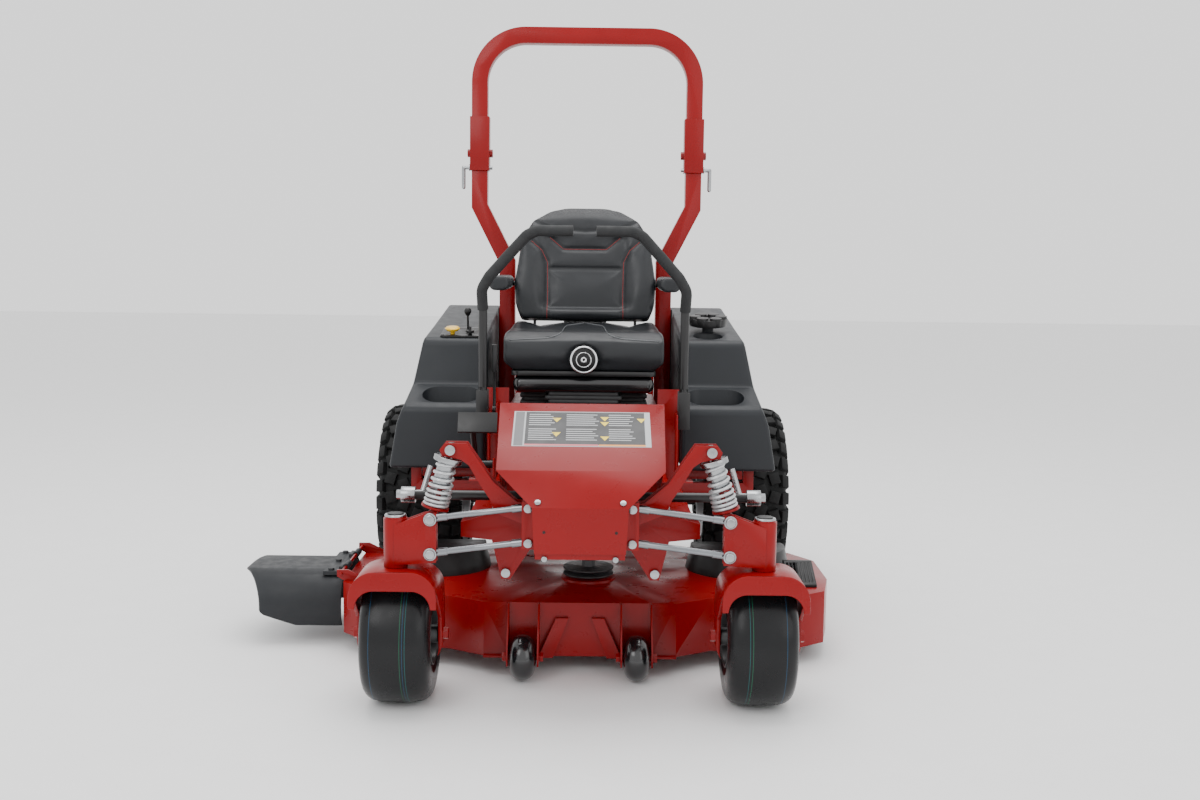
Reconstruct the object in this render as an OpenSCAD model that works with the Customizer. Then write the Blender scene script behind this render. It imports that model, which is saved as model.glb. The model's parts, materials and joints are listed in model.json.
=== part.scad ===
// Zero turn mower: sprung front casters, 52 inch side-discharge deck, folding roll bar.
// Axes while modelling: +X to the machine's left, +Y to the rear, +Z up, ground at Z = 0,
// X = 0 on the centre plane and Y = 0 under the caster axles. place() then moves the
// whole machine so that the origin is the bottom centre of its bounding box.

/* [Wheels] */
// Diameter of the front caster tyres
caster_d = 330; // [300:1:360]
// Width of the front caster tyres
caster_w = 165; // [130:1:180]
// Distance between the two caster swivel axes
caster_track = 864; // [840:1:900]
// Distance from each swivel axis back to the caster axle
caster_trail = 85; // [70:1:95]
// Diameter of the rear drive tyres
drive_d = 580; // [540:1:600]
// Width of the rear drive tyres
drive_w = 267; // [220:1:280]
// Distance from the caster axles back to the drive axle
wheelbase = 1262; // [1240:1:1340]
// Overall width across the drive tyres
drive_track = 1320; // [1300:1:1380]

/* [Frame] */
// Side of the square roll bar tube
tube = 50.8; // [45:0.1:56]
// Wall of the square tubes
tube_wall = 3.4; // [2.5:0.1:5]
// Top of the roll bar above the ground
bar_top = 1812; // [1700:1:1950]
// Overall width of the roll bar hoop
bar_w = 746; // [700:1:800]
// Outer radius of the top corners of the hoop
bar_corner = 175; // [120:1:220]
// Height of the fold pivot of the hoop
fold_z = 1411; // [1350:1:1450]
// Underside of the main frame rails
rail_z = 380; // [365:1:395]
// Overall length of the machine
machine_l = 1955; // [1930:1:2050]
// Thickness of folded sheet parts
sheet = 3; // [2:0.1:4]

/* [Front suspension] */
// Height of the lower inner pivots
arm_inner_z = 415; // [410:1:420]
// Drop of each arm from its inner pivot to its outer pivot
arm_drop = 29; // [20:1:35]
// Height between the lower arm and the upper arm
arm_gap = 82; // [78:1:90]
// Distance of the inner pivots from the centre plane
arm_inner_x = 121; // [118:1:130]
// Distance of the outer pivots from the centre plane
arm_outer_x = 348; // [340:1:352]
// Diameter of the arm tubes
arm_d = 15; // [12:0.5:18]
// Outside diameter of the coil springs
spring_d = 64; // [58:1:68]
// Wire of the coil springs
spring_wire = 9.5; // [8:0.5:11]

/* [Deck] */
// Outside width of the deck shell
deck_w = 1340; // [1320:2:1360]
// Cutting edge of the deck above the ground
deck_z = 45; // [38:1:60]
// Height of the deck shell
deck_h = 142; // [130:1:150]
// Thickness of the deck plate
deck_t = 5; // [4:0.5:6]
// Length of each blade
blade_l = 446; // [430:1:450]
// Reach of the discharge chute beyond the deck
chute_reach = 292; // [250:1:320]

/* [Seat and body] */
// Width of the seat cushion
seat_w = 464; // [440:1:480]
// Top of the seat cushion
seat_z = 878; // [860:1:890]
// Width of the backrest
back_w = 446; // [420:1:460]
// Top of the backrest
back_z = 1230; // [1180:1:1260]
// Wall of the moulded fenders
fender_wall = 4; // [3:0.5:5]
// Height of the front edge of the fender tops
fender_z = 834; // [820:1:850]

/* [Fits] */
// Radial clearance of turning shafts
fit = 0.06; // [0.03:0.01:0.1]
// Gap between parts that sit side by side
gap = 0.4; // [0.2:0.1:1]

/* [Hidden] */
$fn = 48;

RED = [0.68, 0.10, 0.09];
CHARCOAL = [0.25, 0.27, 0.30];
BLACK = [0.08, 0.08, 0.09];
VINYL = [0.30, 0.31, 0.33];
STEEL = [0.72, 0.73, 0.75];
ZINC = [0.80, 0.81, 0.82];
ENGINE = [0.16, 0.16, 0.17];
YELLOW = [0.92, 0.76, 0.12];

// Overall extents, from which the origin is placed.
deck_x = 20;
chute_tip_x = deck_x - deck_w / 2 - chute_reach - 3;
deck_left_x = deck_x + deck_w / 2;
front_y = -caster_d / 2;
centre_x = (chute_tip_x + deck_left_x) / 2;
centre_y = front_y + machine_l / 2;

// Front suspension.
swivel_x = caster_track / 2;
swivel_y = -caster_trail;
axle_z = caster_d / 2;
arm_y = -100;
arm_outer_z = arm_inner_z - arm_drop;
eye_w = 18;
shock_y = -60;
shock_top = [305, 626];
shock_low = [arm_outer_x, arm_outer_z + arm_gap];
shock_l = norm(shock_top - shock_low);
shock_tilt = atan2(shock_low[0] - shock_top[0], shock_top[1] - shock_low[1]);
spring_from = 33;
rod_from = 78;
spring_to = shock_l - 24;
housing_r = 28;
housing_z = caster_d + 21;
housing_top = 466;
stem_r = 12.7;
fork_top = housing_z - 1;
fork_half = 102;
fork_t = 9;

// Frame.
rail_x = 256;
rail_h = 50;
rail_top = rail_z + rail_h;
post_x = 256;
post_y = 1205;
leg_x = bar_w / 2 - tube / 2;
bend_low_z = 1060;
bend_high_z = 1241;
channel_t = 4.6;
channel_low = fold_z - 56;
channel_high = fold_z + 116;
pin_z = fold_z - 46;
pin_r = 6.3;
rear_y = front_y + machine_l;
hitch_r = 8;

foot_bolt = [181, 46, 312];
lift_shaft = [0, 80, 490];
lift_r = 12;
nose_z = 515;
nose_rise = 72.3 + sheet;
nose_run = 69.5 + sheet;
nose_y = -151 - sheet + (nose_z - 505.5) * nose_run / nose_rise;
nose_tilt = atan2(nose_rise, nose_run);

// Deck.
deck_top = deck_z + deck_h;
blade_x = [deck_x - 432, deck_x, deck_x + 432];
blade_y = [610, 470, 610];
spindle_r = 12.5;
roller_r = 57;
roller_x = 145;
roller_y = 140;
roller_z = 62;
chute_hinge_x = deck_x - deck_w / 2 - 8;
chute_hinge_z = deck_top + 20;
chute_y = [420, 740];

// Body.
fender_in = 284;
fender_slope = 8.4;
fender_y = [600, 752, 1490];
drive_in_x = drive_track / 2 - drive_w;
seat_y = 640;
panel_y = [768, 905];
lever_x = 282;
lever_pivot = [545, 622];
armrest_x = 257;
swing_z = 690;
pedal_pivot = [-262, 470, 505];
axle_drive_z = drive_d / 2;

function fender_top(y) = fender_z + (y - fender_y[1]) * tan(fender_slope);

// ---- shared shapes ----

module place() translate([-centre_x, -centre_y, 0]) children();

module sided(s) mirror([s < 0 ? 1 : 0, 0, 0]) children();

module box(x, y, z) {
    translate([x[0], y[0], z[0]]) cube([x[1] - x[0], y[1] - y[0], z[1] - z[0]]);
}

module rod_between(p, q, r) {
    v = q - p;
    translate(p) rotate([0, acos(v[2] / norm(v)), atan2(v[1], v[0])]) cylinder(r = r, h = norm(v));
}

module along_x(p, r, h) translate(p) rotate([0, 90, 0]) cylinder(r = r, h = h, center = true);

module along_y(p, r, h) translate(p) rotate([90, 0, 0]) cylinder(r = r, h = h, center = true);

module hex_y(p, size, h) {
    translate(p) rotate([90, 0, 0]) cylinder(d = size, h = h, center = true, $fn = 6);
}

module hex_x(p, size, h) {
    translate(p) rotate([0, 90, 0]) cylinder(d = size, h = h, center = true, $fn = 6);
}

module round_rect(w, h, r) {
    square([w - 2 * r, h], center = true);
    square([w, h - 2 * r], center = true);
    for (x = [-1, 1], y = [-1, 1]) translate([x * (w / 2 - r), y * (h / 2 - r)]) circle(r = r);
}

// A slab standing in the XZ plane, centred on y.
module slab_xz(y, t) translate([0, y + t / 2, 0]) rotate([90, 0, 0]) linear_extrude(height = t) children();

// A slab standing in the YZ plane from x0 to x1.
module slab_yz(x0, x1) {
    translate([x0, 0, 0]) rotate([90, 0, 90]) linear_extrude(height = x1 - x0) children();
}

module square_tube_2d(inset = 0) square(tube - 2 * inset, center = true);

// A helical spring of round wire between two heights.
module coil(r, wire_r, h, turns, steps = 20, sides = 8) {
    n = floor(turns * steps);
    rings = [for (i = [0 : n]) let (a = i * 360 / steps, z = wire_r + i * (h - 2 * wire_r) / n)
        for (k = [0 : sides - 1]) let (b = k * 360 / sides, d = r + wire_r * cos(b))
            [d * cos(a), d * sin(a), z + wire_r * sin(b)]];
    walls = [for (i = [0 : n - 1], k = [0 : sides - 1]) let (j = (k + 1) % sides)
        [i * sides + k, (i + 1) * sides + k, (i + 1) * sides + j, i * sides + j]];
    polyhedron(rings, concat(walls, [[for (k = [0 : sides - 1]) k],
        [for (k = [sides - 1 : -1 : 0]) n * sides + k]]));
}

// ---- chassis ----

module rear_guard() {
    guard_y = rear_y - 20;
    for (s = [-1, 1]) sided(s) {
        box([rail_x - 20, rail_x + 20], [1590, guard_y], [rail_z + 5, rail_z + 45]);
        box([rail_x - 20, rail_x + 20], [guard_y - 45, rear_y], [rail_z + 5, 700]);
    }
    box([-rail_x - 20, rail_x + 20], [guard_y - 45, guard_y - 12], [660, 700]);
    difference() {
        box([-rail_x - 20, rail_x + 20], [guard_y - 20, rear_y], [rail_z + 5, rail_z + 85]);
        translate([0, guard_y, rail_z]) cylinder(r = hitch_r, h = 100);
    }
}

module main_frame() color(RED) {
    difference() {
        for (s = [-1, 1]) sided(s)
            box([rail_x - 25, rail_x + 25], [130, 1600], [rail_z, rail_top]);
        for (s = [-1, 1]) sided(s)
            box([rail_x - 21, rail_x + 21], [134, 1596], [rail_z + 4, rail_top - 4]);
    }
    // Cross members: front, under the seat, and at the engine plate.
    for (y = [130, 640, 1100]) box([-rail_x, rail_x], [y, y + 40], [rail_z + 2, rail_top - 2]);
    box([-rail_x, rail_x], [1150, 1600], [rail_top - 8, rail_top]);
    // Nose rails that carry the suspension head.
    for (s = [-1, 1]) sided(s) box([60, 99], [80, 150], [rail_z + 5, rail_top + 40]);
    // Seat stand.
    for (s = [-1, 1]) sided(s) box([215, 219], [642, 1090], [rail_top - 6, 636]);
    box([-219, 219], [642, 646], [484, 636]);
    box([-219, 219], [642, 1090], [636, 640]);
    for (s = [-1, 1]) sided(s) box([215, 280], [652, 655], [rail_top - 1, 700]);
    // Outriggers under the fenders.
    for (s = [-1, 1], y = [660, 900]) sided(s) {
        box([rail_x + 20, 500], [y, y + 30], [rail_top - 34, rail_top - 4]);
        box([470, 500], [y, y + 30], [rail_top - 34, 484]);
    }
    // Brackets for the control levers, the brake lever and the lift pedal.
    for (s = [-1, 1]) sided(s) {
        box([262, 266], [515, 575], [rail_top - 1, 640]);
        along_x([272, lever_pivot[0], lever_pivot[1]], 8, 16);
    }
    box([-248.5, -244.5], [585, 625], [rail_top - 1, 660]);
    along_x([-254, 605, 640], 6, 13);
    box([-247, -243], [pedal_pivot[1] - 15, pedal_pivot[1] + 15], [rail_top - 1, pedal_pivot[2] + 15]);
    along_x([-276, pedal_pivot[1], pedal_pivot[2]], 6, 60);
    rear_guard();
}

// Cross-section of the head: a box between the inner pivots.
module front_head() color(RED) {
    difference() {
        box([-104, 104], [-147, 129], [rail_z + 4, 502]);
        box([-99, 99], [-142, 140], [rail_z + 9, 497]);
        box([-99, 99], [79, 140], [rail_z, 500]);
        along_x(lift_shaft, lift_r + 0.3, 240);
    }
    for (s = [-1, 1]) sided(s) {
        // Clevis plates of the inner pivots.
        for (y = [arm_y - 16, arm_y + 12]) {
            slab_xz(y + 2, 4) difference() {
                translate([103, arm_inner_z - 15]) square([33, arm_gap + 30]);
                for (z = [0, arm_gap]) translate([arm_inner_x, arm_inner_z + z]) circle(r = 6 + gap / 4);
            }
        }
        // Shock tower: two plates with the top mount between them.
        for (y = [shock_y - 17, shock_y + 17]) {
            slab_xz(y, 5) difference() {
                polygon([[103, 440], [200, 478], [214, 512], [236, 545], [262, 590], [280, 603], [325, 612],
                    [330, 626], [318, 642], [267, 642], [205, 552], [150, 505], [103, 498]]);
                translate(shock_top) circle(r = 6 + gap / 4);
            }
        }
        box([215, 262], [shock_y - 15, shock_y + 15], [553, 557]);
        // Curved cross member with a foot over the deck front.
        difference() {
            union() {
                slab_xz(20, 6) polygon([[103, 400], [170, 296], [192, 296], [215, 392], [290, 400],
                    [290, 436], [235, 452], [200, 462], [103, 470]]);
                slab_xz(72, 6) polygon([[103, 400], [165, 296], [192, 296], [205, 340], [205, 433],
                    [103, 433]]);
            }
            along_y(foot_bolt, 6 + gap / 4, 120);
        }
        box([103, 290], [17, 90], [432, 436]);
    }
}

// Sheet-metal cowl: a folded strip (flat face, narrowing nose, sloped dash and a short
// return) trimmed to its front outline, with a flange under each side of the dash.
module front_cowl() color(RED) {
    t = sheet;
    intersection() {
        slab_yz(-220, 220) polygon([[-151 - t, 398], [-151 - t, 505.5], [-81.5, 577.8 + t], [169.5, 706 + t],
            [178, 706 + t], [178, 706], [170.3, 706], [-79.8, 577.8], [-151, 504.2], [-151, 398]]);
        slab_xz(0, 500) polygon([[-105, 390], [105, 390], [111, 505], [198, 579], [207, 720], [-207, 720],
            [-198, 579], [-111, 505]]);
    }
    for (s = [-1, 1]) sided(s)
        slab_yz(190, 193) polygon([[-76, 578.3 + t], [166, 702.5 + t], [168, 640], [-30, 545]]);
}

module floor_pan() color(RED) {
    // Toe board, floor and the riser in front of the seat.
    toe_l = norm([140, 216]);
    translate([0, 330, 484]) rotate([atan2(216, -140), 0, 0])
        translate([-208, 0, -sheet]) cube([416, toe_l, sheet]);
    box([-230, 230], [329, 640], [481, 484]);
    for (s = [-1, 1]) sided(s) {
        box([222, 230], [340, 640], [rail_top + gap, 482]);
        slab_yz(204, 207) polygon([[191.2, 700.8], [331.2, 484.8], [330, 470], [232, 470], [150, 620], [172, 694]]);
    }
    along_x([0, 331, 484], 2.4, 416);
    box([-200, 200], [336, 366], [rail_top + 4, 482]);
    box([-100, 100], [131, 340], [rail_top + 42, rail_top + 46]);
}

module floor_mat() color(BLACK) {
    mat_l = norm([140, 216]) - 30;
    difference() {
        box([-215, 215], [344, 636], [484 + gap, 490]);
        for (i = [0 : 10]) box([-205 + i * 38, -195 + i * 38], [350, 630], [488, 491]);
    }
    translate([0, 330, 484]) rotate([atan2(216, -140), 0, 0])
        translate([-198, 18, -sheet - 5.4]) cube([396, mat_l - 10, 5]);
}

// Outlines of the moulded fenders, inset by t.
module fender_front(t) {
    polygon([[fender_in + t, 480], [556 - t, 480], [534 - t, 600], [514 - t, 654], [448 - t, 1000],
        [fender_in + t, 1000]]);
}

module fender_side(t) {
    difference() {
        polygon([[fender_y[0] + t, 480], [fender_y[0] + t, 640 - t], [fender_y[0] + 14, 654 - t],
            [fender_y[1] - 16 + t, 702 - t], [fender_y[1] + t, fender_top(fender_y[1]) - t - 12],
            [fender_y[1] + 14 + t, fender_top(fender_y[1]) - t], [1300, fender_top(1300) - t],
            [1440, 850 - t], [fender_y[2] - t, 740 - t], [fender_y[2] - t, 480]]);
        translate([wheelbase, axle_drive_z]) circle(r = drive_d / 2 + 35 + t, $fn = 96);
        polygon([[wheelbase, 400], [wheelbase, 604 + t], [1600, 604 + t], [1600, 400]]);
    }
}

module fender_body(t) {
    intersection() {
        translate([0, fender_y[2], 0]) rotate([90, 0, 0])
            linear_extrude(height = fender_y[2] - fender_y[0]) fender_front(t);
        slab_yz(200, 700) fender_side(t);
    }
}

module fender_shell() {
    difference() {
        fender_body(0);
        fender_body(fender_wall);
        box([200, 700], [500, 1700], [400, 488]);
        box([200, 700], [1180, 1700], [400, 600]);
        // Relief for the roll bar post.
        box([200, 290], [1150, 1260], [400, 1100]);
    }
}

bowl_at = [384, 672];
bowl_w = 92;
bowl_l = 168;
bowl_floor = 612;
dial_at = [378, 890];
cup_at = [373, 825];
cup_floor = 755;

// The oblong storage pocket from a height upwards, grown by t.
module bowl(z, t) {
    translate([bowl_at[0], bowl_at[1], z]) linear_extrude(height = 200)
        round_rect(bowl_l + 2 * t, bowl_w + 2 * t, bowl_w / 2 + t - 0.01);
}

module at_dial() translate([dial_at[0], dial_at[1], 876]) rotate([fender_slope, 0, 0]) children();

module cup(z, t) translate([cup_at[0], cup_at[1], z]) cylinder(r = 44 + t, h = 200);

// One fender with its pockets let into the top: the left one carries the cup holder and the
// height dial, the right one is open under the control panel.
module fender(s) color(CHARCOAL) sided(s) {
    difference() {
        union() {
            fender_shell();
            intersection() {
                fender_body(0);
                bowl(bowl_floor - fender_wall, fender_wall);
            }
            if (s > 0) intersection() {
                fender_body(0);
                cup(cup_floor - fender_wall, fender_wall);
            }
        }
        bowl(bowl_floor, 0);
        if (s > 0) {
            cup(cup_floor, 0);
            at_dial() translate([0, 0, -96]) cylinder(r = 12, h = 200);
        } else {
            box([304, 424], [panel_y[0] + 4, panel_y[1] - 4], [800, 900]);
        }
    }
    // Boss that carries the height dial.
    if (s > 0) at_dial() difference() {
        translate([0, 0, -56]) cylinder(r = 17, h = 50);
        translate([0, 0, -66]) cylinder(r = 7 + fit, h = 100);
    }
}

module on_panel(x, y) {
    translate([x, y, fender_top(y)]) rotate([fender_slope, 0, 0]) children();
}

pto_at = [-394, 800];
choke_at = [-341, 795];
throttle_at = [-353, 852];

module control_panel() color(BLACK) {
    difference() {
        on_panel(-364, (panel_y[0] + panel_y[1]) / 2)
            translate([0, 0, gap]) linear_extrude(height = 4) round_rect(130, 138, 10);
        on_panel(pto_at[0], pto_at[1]) cylinder(r = 7 + fit, h = 60, center = true);
        on_panel(choke_at[0], choke_at[1]) cylinder(r = 5 + fit, h = 60, center = true);
        on_panel(throttle_at[0], throttle_at[1]) cube([12, 54, 60], center = true);
        on_panel(-400, 870) cube([34, 5, 60], center = true);
    }
    for (x = [-422, -306], y = [780, 893]) on_panel(x, y)
        translate([0, 0, 3.4]) cylinder(r = 5, h = 3);
    // Cheeks that carry the throttle pivot.
    for (x = [-1, 1]) on_panel(throttle_at[0] + x * 11, throttle_at[1])
        translate([0, 0, -16]) cube([4, 30, 34], center = true);
    on_panel(throttle_at[0], throttle_at[1]) translate([0, 0, -22]) rotate([0, 90, 0])
        cylinder(r = 3, h = 24, center = true);
}

// Front outline of one mitred roll bar post, and the same outline inset for its hollow.
module post_outline(low, high, inset) {
    h = tube / 2 - inset;
    m = h * tan(atan2(leg_x - post_x, bend_high_z - bend_low_z) / 2);
    polygon([[post_x - h, low], [post_x + h, low], [post_x + h, bend_low_z - m], [leg_x + h, bend_high_z - m],
        [leg_x + h, high], [leg_x - h, high], [leg_x - h, bend_high_z + m], [post_x - h, bend_low_z + m]]);
}

module rops_posts() color(RED) {
    for (s = [-1, 1]) sided(s) {
        difference() {
            union() {
                slab_xz(post_y, tube) post_outline(rail_top + 6, fold_z + 6, 0);
                along_x([leg_x, post_y, fold_z], tube / 2 - 0.6, tube);
            }
            slab_xz(post_y, tube - 2 * tube_wall) post_outline(rail_top + 9, pin_z - 30, tube_wall);
            along_x([leg_x, post_y, fold_z], 8 + fit, 80);
            // Notch for the lock pin, open to the front.
            box([leg_x - 40, leg_x + 40], [post_y - 60, post_y + 1], [pin_z - 7.5, pin_z + 17]);
            along_x([leg_x, post_y, pin_z], 8, 80);
        }
        difference() {
            box([post_x - 50, post_x + 24], [post_y - 60, post_y + 60], [rail_top, rail_top + 8]);
            for (y = [-45, 45]) translate([post_x - 38, post_y + y, rail_top - 1]) cylinder(r = 6, h = 12);
        }
    }
}

module engine_block() color(ENGINE) {
    box([-150, 150], [1160, 1500], [rail_top, 470]);
    translate([0, 1330, 470]) cylinder(r = 150, h = 210);
    for (s = [-1, 1]) sided(s) {
        // V-twin cylinders with cooling fins, and the silencer behind.
        translate([0, 1290, 560]) rotate([-90, 0, -58]) cylinder(r = 52, h = 205);
        for (i = [0 : 5]) translate([0, 1290, 560]) rotate([-90, 0, -58])
            translate([0, 0, 110 + i * 16]) cylinder(r = 66, h = 6);
    }
    along_x([0, 1560, 560], 60, 340);
    for (x = [-110, 110]) rod_between([x, 1400, 520], [x, 1560, 560], 14);
}

module engine_shroud() color(BLACK) {
    difference() {
        union() {
            translate([0, 1330, 681]) cylinder(r1 = 190, r2 = 165, h = 90);
            translate([0, 1330, 771]) cylinder(r1 = 165, r2 = 120, h = 45);
        }
        translate([0, 1330, 680]) cylinder(r = 160, h = 85);
        for (a = [0 : 30 : 330]) rotate_at([0, 1330, 0], a)
            box([40, 100], [-5, 5], [760, 830]);
    }
    box([-70, 70], [1180, 1300], [816, 880]);
    translate([0, 1330, 765]) cylinder(r = 30, h = 51);
}

module rotate_at(p, a) translate(p) rotate([0, 0, a]) children();

module transaxles() color(ENGINE) {
    for (s = [-1, 1]) sided(s) {
        box([120, 250], [1175, 1350], [205, rail_z]);
        along_x([185, wheelbase, axle_drive_z], 88, 130);
        along_x([310, wheelbase, axle_drive_z], 45, 140);
        along_x([440, wheelbase, axle_drive_z], 16, 200);
    }
    box([-121, 121], [1230, 1290], [300, 340]);
}

// ---- front suspension ----

module at_shock() {
    translate([shock_top[0], shock_y, shock_top[1]]) rotate([0, -shock_tilt, 0]) rotate([180, 0, 0]) children();
}

module front_dampers() color(STEEL) {
    for (s = [-1, 1]) sided(s) {
        difference() {
            union() {
                along_y([shock_top[0], shock_y, shock_top[1]], 15, 28);
                at_shock() cylinder(r = 11, h = 24);
                at_shock() translate([0, 0, 20]) cylinder(r = 21, h = 70);
                at_shock() translate([0, 0, 20]) cylinder(r = spring_d / 2 + 2, h = spring_from - 21);
            }
            at_shock() translate([0, 0, spring_from + 1]) cylinder(r = 18, h = 90);
            along_y([shock_top[0], shock_y, shock_top[1]], 6 + gap / 4, 60);
        }
    }
}

module bolt_y(p, r, length, head) {
    along_y(p, r, length);
    translate([0, -length / 2, 0]) along_y(p, head, 8);
    translate([0, length / 2, 0]) hex_y(p, 2 * head, 8);
}

// Bolts, pins and washers that stay with the frame.
module frame_fasteners() color(ZINC) {
    for (s = [-1, 1]) sided(s) {
        for (z = [0, arm_gap]) {
            along_y([arm_inner_x, arm_y - 1, arm_inner_z + z], 6, 42);
            along_y([arm_inner_x, arm_y - 19, arm_inner_z + z], 10, 6);
            along_y([arm_inner_x, arm_y + 18, arm_inner_z + z], 10, 4);
        }
        bolt_y([shock_top[0], shock_y, shock_top[1]], 6, 47, 12);
        // Mushroom-head bolts on the slope of the cowl nose.
        translate([98, nose_y, nose_z]) rotate([nose_tilt, 0, 0]) cylinder(r = 7, h = 4);
        bolt_y(foot_bolt, 6, 66, 11);
        // Bush, bolt and stop on each end of the lift shaft.
        along_x([425, lift_shaft[1], lift_shaft[2]], 20, 34);
        hex_x([448, lift_shaft[1], lift_shaft[2]], 24, 12);
        rod_between([392, 80, 490], [372, 96, 560], 7);
    }
    along_x(lift_shaft, lift_r, 860);
}

module arm(s, z) color(ZINC) sided(s) {
    p = [arm_inner_x, arm_y, z];
    q = [arm_outer_x, arm_y, z - arm_drop];
    difference() {
        union() {
            rod_between(p, q, arm_d / 2);
            along_y(p, 13, eye_w);
            along_y(q, 13, eye_w);
            rod_between(p, p + (q - p) * 0.17, 9.6);
            rod_between(q, q + (p - q) * 0.17, 9.6);
        }
        along_y(p, 6 + fit, 60);
        along_y(q, 6 + fit, 60);
    }
}

module ear_plate(y) {
    slab_xz(y, 5) polygon([[arm_outer_x - 14, arm_outer_z - 20], [swivel_x, arm_outer_z - 26],
        [swivel_x, housing_top - 12], [arm_outer_x + 12, shock_low[1] + 14], [arm_outer_x - 14, shock_low[1] + 14]]);
}

module caster_housing(s) color(RED) sided(s) {
    difference() {
        union() {
            translate([swivel_x, swivel_y, housing_z]) cylinder(r = housing_r, h = housing_top - housing_z);
            for (y = [arm_y - 12.5, arm_y + 12.5]) ear_plate(y);
            box([arm_outer_x + 20, swivel_x - 10], [arm_y - 12, arm_y + 12], [arm_outer_z + 30, arm_outer_z + 40]);
            for (z = [0, arm_gap]) {
                along_y([arm_outer_x, arm_y - 19, arm_outer_z + z], 11.5, 8);
            }
        }
        translate([swivel_x, swivel_y, housing_z - 1]) cylinder(r = stem_r + fit, h = 106);
    }
    // Cap, lower and upper pivot bolts and the rod of the damper.
    translate([swivel_x, swivel_y, housing_top]) cylinder(r = housing_r - 3, h = 6);
    along_y([arm_outer_x, arm_y, arm_outer_z], 6, 34);
    along_y([arm_outer_x, (arm_y - 15 + shock_y + 15) / 2, shock_low[1]], 6, shock_y - arm_y + 30);
    along_y([arm_outer_x, shock_y, shock_low[1]], 14, 22);
    at_shock() translate([0, 0, rod_from]) cylinder(r = 6, h = shock_l - rod_from);
    at_shock() translate([0, 0, spring_to + 1]) cylinder(r = spring_d / 2 + 1, h = 5);
}

module front_spring(s) color(ZINC) sided(s) {
    at_shock() translate([0, 0, spring_from])
        coil(spring_d / 2 - spring_wire / 2, spring_wire / 2, spring_to - spring_from, 8.5);
}

module fork_outline() {
    h = 260;
    difference() {
        translate([0, fork_top - h / 2]) round_rect(2 * fork_half, h, 62);
        translate([0, fork_top - fork_t - h / 2]) round_rect(2 * (fork_half - fork_t), h, 53);
        translate([-150, fork_top - 300]) square([300, 66]);
    }
}

module caster_fork(s) color(RED) sided(s) translate([swivel_x, swivel_y, 0]) {
    intersection() {
        translate([0, 150, 0]) rotate([90, 0, 0]) linear_extrude(height = 300) fork_outline();
        slab_yz(-150, 150) polygon([[-64, fork_top + 1], [70, fork_top + 1], [122, 240], [118, 116],
            [56, 116], [48, 214], [-64, 306]]);
    }
    translate([0, 0, fork_top - 2]) cylinder(r = stem_r, h = 104);
    along_x([0, caster_trail, axle_z], 9.5, 2 * fork_half + 10);
    for (x = [-1, 1]) hex_x([x * (fork_half + 6), caster_trail, axle_z], 30, 12);
}

// Tyre section by radius and half width, with rounded shoulders.
module tyre_section(r_in, r_out, w, shoulder) {
    intersection() {
        translate([r_in, -w / 2]) square([r_out - r_in, w]);
        translate([0, 0]) round_rect(2 * r_out, w, shoulder);
    }
}

module caster_tyre(s) color(BLACK) sided(s) translate([swivel_x, 0, axle_z]) rotate([0, 90, 0])
    rotate_extrude($fn = 96) difference() {
        tyre_section(76, caster_d / 2, caster_w, 42);
        tyre_section(60, caster_d / 2 - 12, caster_w - 20, 34);
    }

module caster_rim(s) color(ENGINE) sided(s) translate([swivel_x, 0, axle_z]) rotate([0, 90, 0])
    rotate_extrude($fn = 72) {
        translate([9.5 + fit, -90]) square([14, 180]);
        translate([20, -3]) square([54, 6]);
        translate([71, -80]) square([4.95, 160]);
    }

// ---- drive wheels ----

module drive_tyre(s) color(BLACK) sided(s)
    translate([drive_track / 2 - drive_w / 2, wheelbase, axle_drive_z]) rotate([0, 90, 0])
        difference() {
            rotate_extrude($fn = 96) difference() {
                tyre_section(152, drive_d / 2, drive_w, 46);
                tyre_section(100, drive_d / 2 - 30, drive_w - 26, 34);
            }
            // Shoulder grooves of the tread.
            for (a = [0 : 20 : 340], w = [-1, 1]) rotate([0, 0, a + w * 5])
                translate([drive_d / 2 + 2, 0, w * 104]) rotate([w * 12, 0, 0]) cube([26, 17, 78], center = true);
        }

module drive_rim(s) color(STEEL) sided(s)
    translate([drive_track / 2 - drive_w / 2, wheelbase, axle_drive_z]) rotate([0, 90, 0]) difference() {
        rotate_extrude($fn = 72) {
            translate([146, -130]) square([5.95, 260]);
            translate([60, 30]) square([88, 6]);
            translate([16 + fit, -20]) square([50, 56]);
        }
        for (a = [0 : 90 : 270]) rotate([0, 0, a + 45]) translate([105, 0, 0]) cylinder(r = 14, h = 80);
    }

// ---- steering levers ----

module lever_base(s) color(BLACK) sided(s) {
    difference() {
        box([267, 299], [520, 570], [600, 650]);
        along_x([270, lever_pivot[0], lever_pivot[1]], 8 + fit, 80);
    }
    // Fork of the outward hinge, open to both sides.
    for (y = [[520, 526], [564, 570]]) box([267, 299], y, [645, swing_z + 14]);
    along_y([lever_x, lever_pivot[0], swing_z], 6, 49);
}

function lever_point(i) = [[lever_x, 545, swing_z], [lever_x, 540, 930], [lever_x + 2, 522, 985],
    [lever_x - 22, 514, 1022], [158, 500, 1136], [130, 498, 1148], [31, 496, 1148]][i];

module lap_bar(s) color(BLACK) sided(s) {
    difference() {
        union() {
            rod_between(lever_point(0) + [0, 0, 4], lever_point(1), 12.5);
            along_y(lever_point(0), 12.5, 34);
        }
        along_y(lever_point(0), 6 + fit, 60);
    }
    for (i = [1 : 5]) rod_between(lever_point(i), lever_point(i + 1), 15.5);
    for (i = [1 : 6]) translate(lever_point(i)) sphere(r = 15.9);
}

// ---- roll bar hoop ----

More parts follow.
